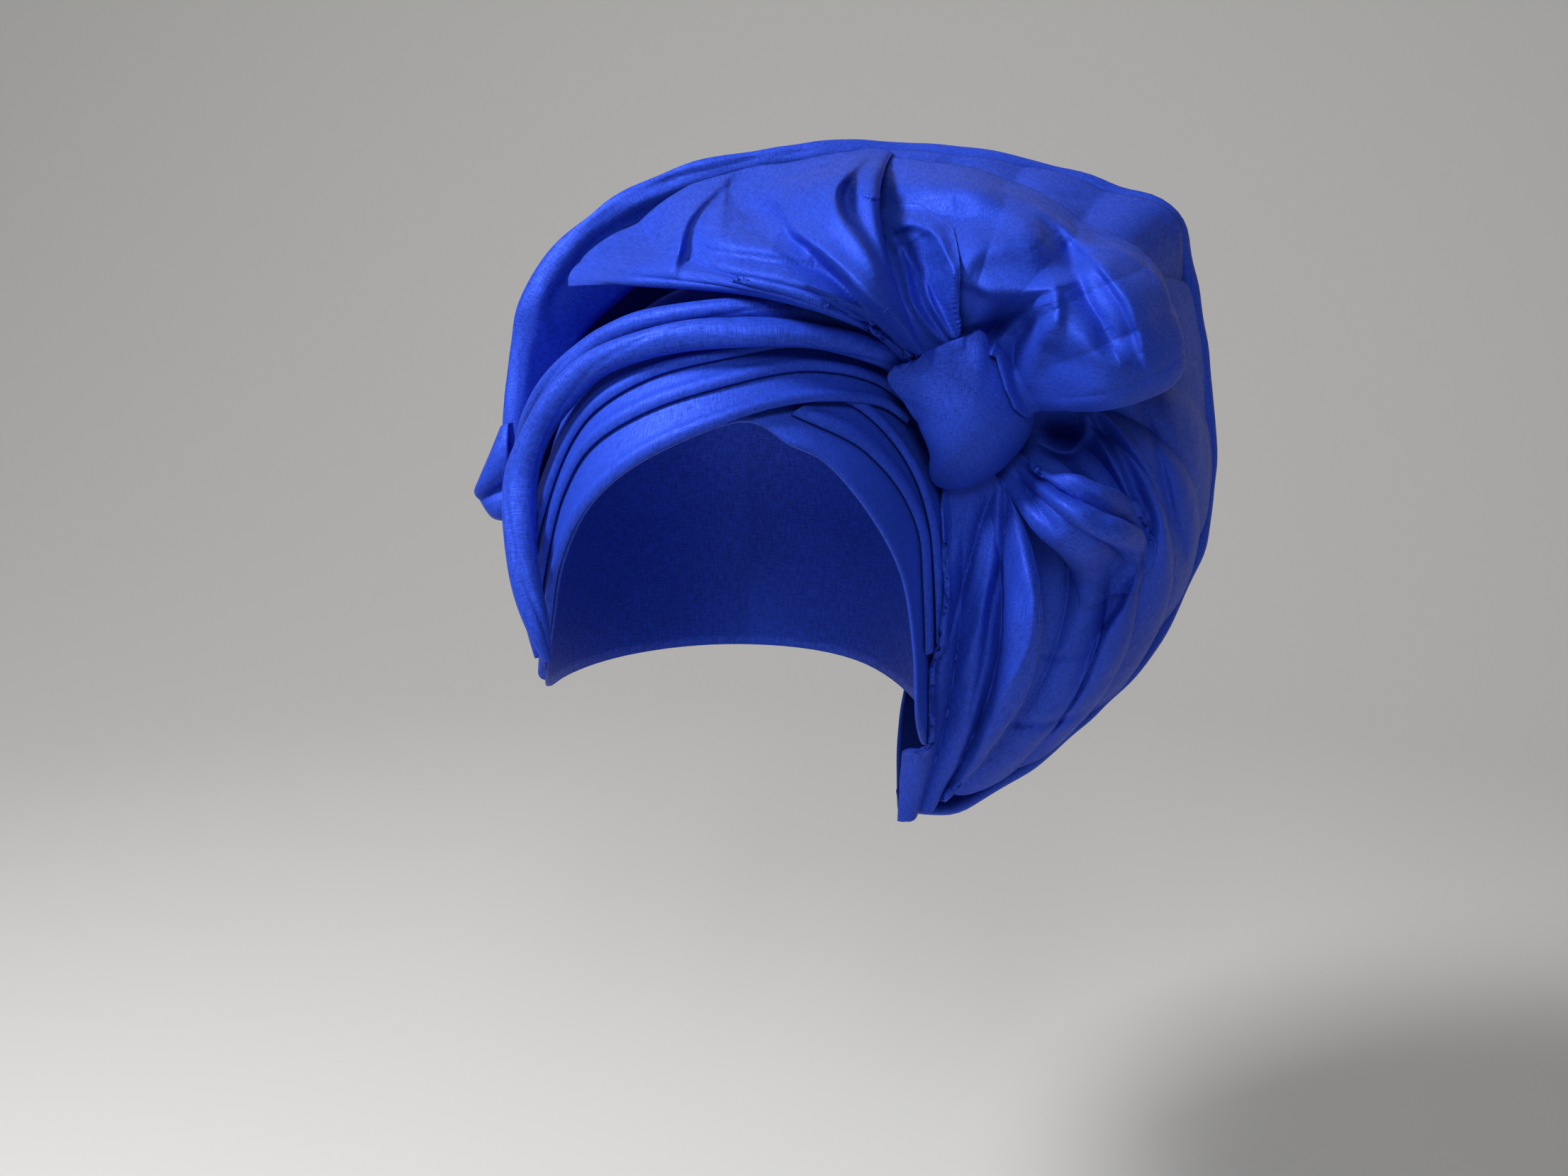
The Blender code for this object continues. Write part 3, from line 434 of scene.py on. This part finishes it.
# Gathered folds.
# The same wide cloth drawn together under the knot strap: it fans out from there as creases and full
# folds, up into the swag and the puff, and down into the long side folds. Each row of a table is a
# crease or a ridge: where it comes out of the strap, the bearings it leaves and arrives on, the rim
# angle it meets, how far inside the rim it stops, its lift forward, how late it turns back, its end's
# set-back, and the puff up to the next row.

KNOT = on_head(54.0, 24.0, 0.030)
STRAP_REACH = 0.028
STRAP_DOME = 0.014
STRAP_LEAN = 0.3            # the strap's upper edge leans forward, so that its face looks down
PUFF_DEPTH = 0.060
TUCK = 0.85

Strap = namedtuple("Strap", "bearing reach sink")
STRAP_EDGE = [
    Strap(-190, 0.62, 0.6), Strap(-165, 0.52, 0.65), Strap(-143, 0.55, 0.75), Strap(-122, 0.76, 0.9),
    Strap(-105, 0.80, 1.0), Strap(-76, 0.74, 1.1), Strap(-51, 0.72, 1.2), Strap(-30, 0.74, 1.3),
    Strap(-6, 0.82, 1.3), Strap(12, 0.86, 1.2), Strap(30, 0.8, 1.15), Strap(52, 0.85, 1.1), Strap(72, 1.0, 1.1),
    Strap(84, 1.22, 1.1), Strap(94, 1.15, 1.0), Strap(113, 1.1, 0.95), Strap(130, 1.12, 0.85),
    Strap(146, 1.2, 0.7), Strap(156, 0.86, 0.65), Strap(170, 0.62, 0.6)]
Crease = namedtuple("Crease", "root leaves arrives meets inside lift full back puff")


def strap_point(bearing, share):
    """Points on the domed strap, at a share of the way from its middle to its edge."""
    bearing = np.asarray(bearing, float)
    fine = along_rows(STRAP_EDGE, np.linspace(0, len(STRAP_EDGE) - 1, 600))
    turn = np.mod(bearing + 190, 360) - 190
    own = np.asarray(share, float) ** 2         # the middle is plain, and the edge has its own outline
    reach = STRAP_REACH * share * (0.85 + (np.interp(turn, fine[:, 0], fine[:, 1]) - 0.85) * own)
    sink = STRAP_DOME * share ** 2 * (1 + (np.interp(turn, fine[:, 0], fine[:, 2]) - 1) * own)
    level = reach * np.sin(bearing * RAD)
    return KNOT + np.stack([reach * np.cos(bearing * RAD), sink - STRAP_LEAN * level, level], -1)


def strap_form():
    """Grid of the domed strap: a square grid drawn out to the round."""
    side = np.linspace(-1, 1, 90)
    u, v = np.meshgrid(side, side, indexing="ij")
    x, z = u * np.sqrt(1 - v * v / 2), v * np.sqrt(1 - u * u / 2)
    return strap_point(np.arctan2(z, x) / RAD, np.hypot(x, z))


def gathered(rows, behind, across, along, tuck=TUCK, hold=0.5):
    """Grid of a gathered sheet: rows across the fan, columns from under the strap outwards."""
    place = np.linspace(0, len(rows) - 1, across)
    row = along_rows(rows, place)
    t = np.linspace(0, 1, along)
    start = strap_point(row[:, 0], tuck)
    start[:, 1] = strap_point(row[:, 0], 1.0)[:, 1] + behind
    end = rim_point(row[:, 3], row[:, 4])
    end[:, 1] = RIM_SET_BACK * row[:, 7]
    span = 0.36 * np.hypot(end[:, 0] - start[:, 0], end[:, 2] - start[:, 2])[:, None]
    leave = np.stack([np.cos(row[:, 1] * RAD), 0 * place, np.sin(row[:, 1] * RAD)], -1) * span
    arrive = np.stack([np.cos(row[:, 2] * RAD), 0 * place, np.sin(row[:, 2] * RAD)], -1) * span
    grid = bezier(start, start + leave, end - arrive, end, t)
    bump = ease(t / 0.42) * (1 - ease((t - hold) / (1 - hold)))
    grid[..., 1] = start[:, 1:2] + (end[:, 1:2] - start[:, 1:2]) * t[None, :] ** row[:, 6:7] \
        - row[:, 5:6] * PUFF_DEPTH * bump[None, :]
    k = np.clip(place.astype(int), 0, len(rows) - 2)
    puff = np.array([r.puff for r in rows])[k] * np.abs(np.sin(np.pi * (place - k))) ** 0.8
    swell = PUFF_DEPTH * puff[:, None] * (ease(t / 0.45) * (1 - 0.5 * ease((t - 0.7) / 0.3)))[None, :]
    return grid + normals_of(grid) * swell[..., None]


def laid_over(grid, below, way, air=0.0006, soft=3):
    """Move a sheet's points along way until they clear the pieces below; the step is softened, soft times."""
    way = np.array(way, float)
    way /= np.linalg.norm(way)
    far, back = Vector(way * 0.4), Vector(-way)
    rows, cols = grid.shape[:2]
    lift = np.zeros((rows, cols))
    for i in range(rows):
        for j in range(cols):
            spot = Vector(grid[i, j])
            for name in below:
                hit = LAID[name].ray_cast(spot + far, back)[0]
                if hit:
                    lift[i, j] = max(lift[i, j], (hit - spot).dot(-back) + WALL + air)
    for _ in range(soft):
        wide = np.pad(lift, 1, mode="edge")
        near = np.max([wide[1 + a:1 + a + rows, 1 + b:1 + b + cols] for a in (-1, 0, 1) for b in (-1, 0, 1)], 0)
        lift = np.maximum(lift, near * 0.6 ** (1 / soft))
    near = lift
    for _ in range(soft):
        wide = np.pad(near, 1, mode="edge")
        near = sum(wide[1 + a:1 + a + rows, 1 + b:1 + b + cols] for a in (-1, 0, 1) for b in (-1, 0, 1)) / 9
    return grid + way * np.maximum(lift, near)[..., None]


def worked(grid, folds, height, seed, weight=1.0):
    """Fold and crumple a gathered sheet, but not where it comes out from under the strap."""
    free = ease(np.linspace(0, 1, grid.shape[1]) / 0.12)[None, :] * weight
    return crumpled(folded(grid, folds, free), 0.017, height * free, seed)


FORWARD = (0, -1, 0)
UPWARD = (0, -0.5, 0.85)
SIDEWAYS = (0.7, -0.7, 0)
HEAD_TURNS = ["head_wrap", "brow_pleat_right_inner", "brow_pleat_right_outer"]
ROLLS = ["brow_pleat_high", "roll_lower", "roll_upper"]

# Corner layer: the flat layer of the crown behind the puff, out to the sharp corner at the upper right.
TOP = [
    Crease(112, 112, 80, 90, 0.97, 0.1, 1.8, 0.75, 0.03), Crease(98, 98, 60, 77, 0.98, 0.14, 1.8, 0.75, 0.04),
    Crease(84, 84, 45, 66, 0.98, 0.2, 1.8, 0.75, 0.04), Crease(68, 68, 38, 54, 0.98, 0.22, 1.8, 0.7, 0.03),
    Crease(52, 52, 34, 45, 0.99, 0.2, 1.8, 0.62, 0.0), Crease(36, 36, 38, 36, 0.96, 0.14, 1.8, 0.75, 0.0)]
TOP_FOLDS = [
    Fold(-2.6, 1.6, 2.2, 1, [(74, 148), (95, 140), (116, 134), (126, 132)]),
    Fold(1.6, 4.0, 3.0, 1, [(70, 152), (95, 146), (120, 139), (150, 128)]),
    Fold(-1.5, 2.0, 3.0, 1, [(133, 124), (146, 118), (160, 108)])]
grid = laid_over(folded(gathered(TOP, 0.014, 110, 90), TOP_FOLDS), ["crown_bag"], FORWARD)
piece = cloth("corner_layer", grid, (0.11, 0.12))
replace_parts(piece, "crown_top")

# Side folds: long loose folds from behind the knot down to the rim on the viewer's right.
FAN = [
    Crease(38, 40, -26, 35, 0.965, 0.14, 1.6, 0.72, 0.03), Crease(27, 28, -50, 13, 0.97, 0.2, 1.6, 0.85, 0.06),
    Crease(18, 18, -75, -8, 0.97, 0.22, 1.6, 0.84, 0.06), Crease(10, 10, -95, -27, 0.97, 0.24, 1.6, 0.78, 0.08),
    Crease(0, 0, -112, -46, 0.97, 0.24, 1.6, 0.66, 0.08), Crease(-14, -14, -124, -62, 0.96, 0.24, 1.6, 0.54, 0.08),
    Crease(-32, -32, -124, -74, 0.93, 0.16, 1.6, 0.46, 0.06), Crease(-52, -52, -118, -80, 0.9, 0.08, 1.6, 0.42, 0.0)]
FAN_FOLDS = [
    Fold(6, 3.0, 2.5, -0.5, [(149, -8), (153, 2), (153, 10), (150, 19), (144, 32), (137, 44), (128, 58)]),
    Fold(6, 5.0, 3.0, -0.2, [(168, -14), (166, -1), (163, 8), (161, 19), (155, 33), (146, 46), (134, 60)]),
    Fold(-5, 3.0, 3.0, 1, [(134, 52), (145, 37), (152, 22), (156, 13), (155, 2)]),
    Fold(-4, 2.0, 2.0, 1, [(148, 66), (155, 46), (160, 31), (164, 16), (170, -1), (172, -12)]),
    Fold(2.5, 4.0, 4.0, 1, [(160, 61), (168, 33), (174, 16), (174, 1)]),
    Fold(8, 10.0, 8.0, -0.9, [(152, 0), (146, -19), (140, -29), (137, -36), (132, -51), (124, -66)]),
    Fold(-2, 1.2, 1.2, 1, [(112, -38), (120, -40), (128, -40), (138, -38)]),
    Fold(-3, 1.6, 1.6, 1, [(104, -66), (115, -67), (126, -65), (139, -59), (147, -54)]),
    Fold(4.5, 2.0, 2.0, 1, [(113, 43), (119, 40), (124, 40), (128, 44), (130, 50), (130, 57)]),
    Fold(-10.5, 4.0, 4.0, 1, [(114, 50), (121, 48), (127, 47)]),
    Fold(2.5, 4.0, 4.0, 1, [(128, -64), (138, -50), (147, -36), (157, -19), (162, -6)])]
fan = worked(gathered(FAN, 0.011, 190, 130), FAN_FOLDS, 0.0005, 7)
grid = laid_over(fan, ["crown_bag", "corner_layer"], FORWARD)
piece = cloth("side_folds", grid, (0.2, 0.14))
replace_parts(piece, "side_fan")

# Crown puff: the big forward puff above the knot.
PUFF = [
    Crease(117, 116, 82, 91, 0.96, 0.1, 4.0, 0.7, 0.0), Crease(104, 104, 72, 78, 0.95, 0.26, 4.0, 0.4, 0.02),
    Crease(94, 94, 52, 69, 0.93, 0.3, 4.0, 0.3, 0.02), Crease(82, 80, 34, 56, 0.87, 0.36, 4.0, 0.2, 0.02),
    Crease(72, 60, 20, 45, 0.85, 0.42, 4.0, 0.1, 0.02), Crease(50, 36, 18, 38, 0.85, 0.5, 4.0, 0.0, 0.02),
    Crease(28, 16, 40, 34, 0.84, 0.5, 4.0, -0.2, 0.02), Crease(13, 14, 62, 31, 0.79, 0.35, 4.0, -0.3, 0.0)]
PUFF_HOLD = 0.82            # the puff turns back only near its end
PUFF_FOLDS = [
    Fold(-16, 8.0, 9.0, 1, [(54, 150), (49, 142), (48, 134), (50, 123), (58, 110), (66, 92), (74, 78)]),
    Fold(-12, 8.0, 8.0, 1, [(62, 118), (66, 108), (71, 96), (77, 84)]),
    Fold(9, 8.0, 8.0, 1, [(58, 144), (66, 143), (76, 141), (92, 136), (104, 128), (112, 118)]),
    Fold(-9, 7.0, 7.0, 1, [(52, 132), (60, 128), (72, 127), (83, 126), (96, 127)]),
    Fold(6, 7.0, 7.0, 1, [(78, 104), (83, 111), (90, 116), (100, 118), (111, 117)]),
    Fold(5, 6.0, 4.0, -0.5, [(84, 101), (92, 98), (100, 97), (110, 99), (118, 101)]),
    Fold(-12, 5.0, 6.0, 1, [(92, 82), (95, 87), (99, 91), (106, 93)]),
    Fold(4, 5.0, 6.0, 0, [(118, 84), (119, 92), (118, 101)]),
    Fold(-8, 3.5, 5.0, 1, [(97, 136), (105, 129), (115, 121), (121, 114), (124, 106), (128, 97), (134, 88), (138, 80)]),
    Fold(7, 10.0, 6.0, 0, [(114, 126), (126, 114), (135, 104), (142, 95), (146, 86), (149, 77)]),
    Fold(4, 5.0, 5.0, 1, [(117, 86), (127, 81), (136, 75), (146, 72)]),
    Fold(-7, 3.0, 4.0, 1, [(108, 90), (105, 85), (102, 78), (101, 68), (104, 58)]),
    Fold(4, 5.0, 5.0, 1, [(117, 92), (114, 86), (110, 79), (108, 68)])]
OVER_STRAP = 3.6            # from this row on the puff lies over the strap, with a full turned edge
TURNED_EDGE = 0.006
LAID["strap_form"] = tree_of(strap_form())
place = np.linspace(0, len(PUFF) - 1, 220)
front = ease((place - OVER_STRAP + 0.5) / 0.6)[:, None]
reach = np.interp(place, [0, 3, 4, 5, 6, 7], [TUCK, TUCK, 0.96, 0.80, 0.76, 0.86])
puff = gathered(PUFF, 0.006, 220, 150, reach, PUFF_HOLD)
run = np.linspace(0, 1, 150)[None, :]
puff[..., 1] -= TURNED_EDGE * front * (1.2 - np.exp(-run / 0.03))
puff[..., 1] += 1.5 * TURNED_EDGE * ease((place - 6.5) / 0.5)[:, None] ** 2 * ease(run / 0.1)
puff = worked(puff, PUFF_FOLDS, 0.0008, 5)
grid = laid_over(puff, ["crown_bag", "corner_layer", "side_folds"], FORWARD)
grid = grid + (laid_over(grid, ["strap_form"], FORWARD, 0.0015) - grid) * front[..., None]
piece = cloth("crown_puff_front", grid, (0.16, 0.13))
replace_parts(piece, "crown_puff")

# Pocket pleats: narrow pleats looped back on themselves above the knot.
POCKET = [
    Crease(121, 122, 92, 94, 0.77, 0.2, 1.4, -0.6, 0.0), Crease(114, 116, 88, 90, 0.80, 0.14, 1.4, -0.6, 0.0),
    Crease(107, 106, 84, 84, 0.82, 0.12, 1.4, -0.55, 0.0), Crease(98, 94, 92, 78, 0.77, 0.22, 1.4, -0.6, 0.0)]
POCKET_FOLDS = [
    Fold(9, 3.0, 2.5, 1, [(54, 121), (60, 124), (65, 124), (71, 121), (75, 114), (78, 106), (79, 96), (82, 84)]),
    Fold(4, 3.0, 2.5, 0, [(78, 80), (66, 94), (61, 110), (57, 118)]),
    Fold(5, 2.0, 2.5, 0, [(80, 82), (75, 89), (70, 99), (68, 112)])]
grid = laid_over(gathered(POCKET, 0.004, 110, 110), ["corner_layer", "crown_puff_front"], FORWARD)
grid = laid_over(worked(grid, POCKET_FOLDS, 0.0004, 4), ["corner_layer", "crown_puff_front"], FORWARD)
piece = cloth("looped_pleats", grid, (0.04, 0.05))
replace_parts(piece, "pocket_pleats")

# Swag: the big puffed fold from the knot to the upper left.
SWAG = [
    Crease(135, 129, 184, 142, 0.90, 0.26, 3.0, -0.2, 0.03), Crease(133, 126, 168, 138.5, 0.92, 0.4, 3.0, 0.0, 0.04),
    Crease(131, 121, 138, 128, 0.91, 0.38, 3.5, 0.1, 0.04), Crease(128, 117, 106, 113, 0.95, 0.38, 4.0, 0.3, 0.0),
    Crease(125, 116, 70, 100, 0.96, 0.4, 4.0, 0.5, 0.0), Crease(122, 118, 46, 89, 0.975, 0.42, 4.0, 0.6, 0.0),
    Crease(120, 120, 44, 86.5, 0.965, 0.22, 4.0, 0.6, 0.0)]
SWAG_HOLD = 0.8
SWAG_FOLDS = [
    Fold(10, 9.0, 14.0, -0.6, [(-23, 108), (-21, 115), (-20, 120), (-18, 125), (-13, 131), (-5, 138)]),
    Fold(-24, 9.0, 9.0, 1, [(-6, 131), (2, 130), (9, 128), (15, 126)]),
    Fold(5, 3.0, 5.0, 1, [(-12, 119), (6, 117), (16, 114), (27, 113)]),
    Fold(13, 7.0, 7.0, -0.5, [(18, 123), (21, 119), (29, 113), (39, 104), (48, 95), (58, 86), (66, 76)]),
    Fold(10, 12.0, 16.0, -1.5, [(70, 78), (66, 83), (57, 100), (46, 117), (38, 128), (37, 136), (41, 142), (47, 148)]),
    Fold(5, 6.0, 6.0, 1, [(-18, 111), (6, 106), (29, 101), (48, 91), (62, 79)]),
    Fold(-4, 3.0, 3.0, 1, [(-18, 115), (-6, 113), (10, 111), (27, 107), (42, 97), (57, 84)]),
    Fold(-5, 2.0, 2.5, 1, [(26, 100), (43, 92), (56, 82), (66, 75)]),
    Fold(-5, 2.5, 2.5, 1, [(52, 106), (56, 100), (61, 91), (68, 81)]),
    Fold(-8, 5.0, 4.0, 1, [(-52, 109), (-44, 113), (-35, 119), (-27, 126)])]
share = np.linspace(0, 1, 230)[:, None]
hem = ease((share * (len(SWAG) - 1) - 0.7) / 1.4)     # the folds fade out towards the hem
swag = worked(gathered(SWAG, 0.002, 230, 150, TUCK, SWAG_HOLD), SWAG_FOLDS, 0.0007, 8, hem)
# The rolls lift the hem. A column is lifted as a whole, less and less towards the top.
lift = (laid_over(swag, ROLLS, UPWARD, soft=0) - swag)[..., 2].max(0)
lift = np.convolve(np.pad(lift, 10, mode="edge"), np.full(21, 1 / 21), mode="valid")
swag[..., 2] += np.maximum(lift, 0) * (1 - share) ** 2
grid = laid_over(swag, ["crown_bag", "corner_layer", "crown_puff_front", "looped_pleats"], FORWARD)
piece = cloth("crown_swag_front", grid, (0.14, 0.13))
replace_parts(piece, "crown_swag")

# Side loop: a loop of the gathers that sticks out below the hollow beside the knot.
LOOP = [
    Crease(-25, -25, -16, 6, 0.62, 0.34, 1.5, -0.8, 0.1), Crease(-34, -34, -38, -4, 0.71, 0.5, 1.5, -0.6, 0.12),
    Crease(-44, -46, -62, -13, 0.70, 0.5, 1.5, -0.5, 0.1), Crease(-54, -60, -84, -23, 0.58, 0.26, 1.5, -0.4, 0.0)]
LOOP_FOLDS = [
    Fold(2.5, 5.0, 4.0, 1, [(108, 38), (113, 32), (120, 22), (129, 14), (138, 3)]),
    Fold(-3.0, 2.0, 2.0, 1, [(103, 34), (107, 28), (111, 21), (119, 11)]),
    Fold(-1.2, 4.0, 4.0, 1, [(112, 10), (121, 2), (129, -4), (138, -8)]),
    Fold(1.8, 3.0, 2.5, 1, [(122, 34), (133, 26), (145, 19), (151, 8)])]
loop = worked(gathered(LOOP, 0.006, 120, 100), LOOP_FOLDS, 0.0006, 2)
grid = laid_over(loop, ["side_folds"], FORWARD)
piece = cloth("side_loop_front", grid, (0.06, 0.07))
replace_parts(piece, "side_loop")

# Face drape: the folds that fall from the knot beside the face.
DRAPE = [
    Crease(-56, -50, -122, -73, 0.84, 0.4, 1.4, -0.1, 0.14), Crease(-70, -70, -112, -77, 0.88, 0.18, 1.4, 0.0, 0.12),
    Crease(-88, -88, -102, -81, 0.93, 0.12, 1.4, 0.0, 0.12), Crease(-108, -108, -92, -85, 0.96, 0.1, 1.4, -0.1, 0.0)]
DRAPE_FOLDS = [
    Fold(-4, 1.6, 1.6, 1, [(96, 30), (94, 22), (91, 13), (84, -15), (77, -38), (71, -62)]),
    Fold(-4, 1.6, 1.6, 1, [(101, 33), (100, 27), (100, 4), (96, -19), (93, -43), (89, -62)]),
    Fold(3, 3.0, 3.0, 1, [(98, 28), (97, 19), (96, -3), (92, -24), (85, -48)]),
    Fold(4, 3.5, 3.5, 1, [(102, 26), (108, -1), (112, -18), (111, -36), (102, -55)]),
    Fold(-3, 3.0, 3.0, 1, [(103, 0), (102, -12), (100, -24), (100, -40)]),
    Fold(2.5, 3.5, 3.5, 1, [(87, 24), (82, 0), (75, -30), (69, -62)])]
drape = worked(gathered(DRAPE, 0.004, 150, 120), DRAPE_FOLDS, 0.0006, 6)
grid = laid_over(laid_over(drape, HEAD_TURNS, SIDEWAYS),
                 ["side_folds", "side_loop_front"], FORWARD)
piece = cloth("face_drape", grid, (0.06, 0.12))
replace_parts(piece, "side_drape")


# Knot strap.
# A strip of the cloth wound once over the gathers and pinned behind, which holds them together.

strap = laid_over(strap_form(), ["looped_pleats", "crown_swag_front", "side_folds", "side_loop_front", "face_drape"],
                  FORWARD)
piece = cloth("knot_strap_front", strap, (0.07, 0.045))
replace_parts(piece, "knot_strap")


# Left tail.
# The small folded end of the upper roll, tucked out as a flat pouch at the viewer's left.

TAIL_ROOT, TAIL_TOP, TAIL_DROP, TAIL_STAND = 0.0095, 0.050, 0.034, 0.0135
TAIL_DEPTH, TAIL_FORWARD = 0.008, 0.007
Tail = namedtuple("Tail", "stand level root_level full")
TAIL = [
    Tail(0.21, 0.0, -0.05, 0.45), Tail(0.54, 0.3, 0.16, 0.9), Tail(0.87, 0.58, 0.35, 1.0),
    Tail(1.0, 0.71, 0.49, 0.8), Tail(0.87, 0.785, 0.58, 0.35), Tail(0.75, 0.87, 0.74, 0.8),
    Tail(0.55, 0.97, 0.86, 0.85), Tail(0.27, 1.0, 0.955, 0.4)]
row = along_rows(TAIL, np.linspace(0, len(TAIL) - 1, 80))
turn = np.linspace(0, np.pi, 48)[None, :]
tail = np.stack([-HEAD_HALF_WIDTH - TAIL_ROOT - TAIL_STAND * row[:, :1] * np.sin(turn) ** 0.8,
                 -TAIL_FORWARD - TAIL_DEPTH * row[:, 3:] * np.cos(turn),
                 TAIL_TOP - TAIL_DROP * (row[:, 2:3] + (row[:, 1:2] - row[:, 2:3]) * np.sin(turn))], -1)
tail = laid_over(tail, ["roll_lower", "roll_upper", "crown_bag"], (-0.3, -1, 0))
piece = cloth("left_tail_end", tail, (0.04, 0.03))
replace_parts(piece, "left_tail")


# Studio.
# Plain pale floor below the piece, which is shown as worn, and soft light from the upper left.

FLOOR_LEVEL = -0.42
SWEEP_START, SWEEP_REACH, SWEEP_RISE = 1.3, 2.2, 3.0        # where the floor turns up, in metres
bpy.ops.mesh.primitive_grid_add(x_subdivisions=96, y_subdivisions=96, size=2, location=(0, 0, 0))
floor = bpy.context.object
floor.name = "studio_floor"
for corner in floor.data.vertices:
    x, y = corner.co.x, corner.co.y
    spread = SWEEP_START + SWEEP_REACH
    corner.co = (x * math.sqrt(1 - y * y / 2) * spread, y * math.sqrt(1 - x * x / 2) * spread, FLOOR_LEVEL)
    far = max(0, math.hypot(corner.co.x, corner.co.y) - SWEEP_START) / SWEEP_REACH
    corner.co.z += SWEEP_RISE * (1 - math.sqrt(1 - min(far, 1) ** 2))
floor.data.shade_smooth()
paper = bpy.data.materials.new("matt_paper_sweep")
paper.use_nodes = True
paper.node_tree.nodes["Principled BSDF"].inputs["Base Color"].default_value = srgb("#DCDBD9")
paper.node_tree.nodes["Principled BSDF"].inputs["Roughness"].default_value = 0.9
floor.data.materials.append(paper)

world = bpy.data.worlds.new("studio_air")
world.use_nodes = True
world.node_tree.nodes["Background"].inputs["Color"].default_value = srgb("#FFFFFF")
world.node_tree.nodes["Background"].inputs["Strength"].default_value = 0.10
bpy.context.scene.world = world


def soft_light(name, place, width, height, power, aim=(0.04, 0, 0.03)):
    data = bpy.data.lights.new(name, "AREA")
    data.shape = "RECTANGLE"
    data.size, data.size_y = width, height
    data.energy = power
    lamp = bpy.data.objects.new(name, data)
    lamp.location = place
    lamp.rotation_euler = (Vector(aim) - Vector(place)).to_track_quat("-Z", "Y").to_euler()
    bpy.context.scene.collection.objects.link(lamp)


soft_light("key_high_left", (-0.80, -0.46, 0.92), 0.3, 0.3, 23)
soft_light("front_fill", (0.0, -1.1, 0.85), 0.4, 0.4, 3.5)
soft_light("window_left", (-0.16, -1.0, 0.62), 0.09, 0.3, 1.2)
soft_light("window_right", (0.02, -1.0, 0.62), 0.09, 0.3, 1.2)
soft_light("backdrop_wash", (0.0, 1.2, 1.9), 1.6, 1.0, 14, (0, 2.8, 0))

data = bpy.data.cameras.new("photo_view")
data.sensor_width = 36
data.lens = 36 * 2250 / 2212
camera = bpy.data.objects.new("photo_view", data)
camera.location = (0.016, -0.600, 0.115)
camera.rotation_euler = (78 * RAD, 0, 0)
bpy.context.scene.collection.objects.link(camera)
bpy.context.scene.camera = camera
bpy.context.scene.view_settings.view_transform = "Standard"
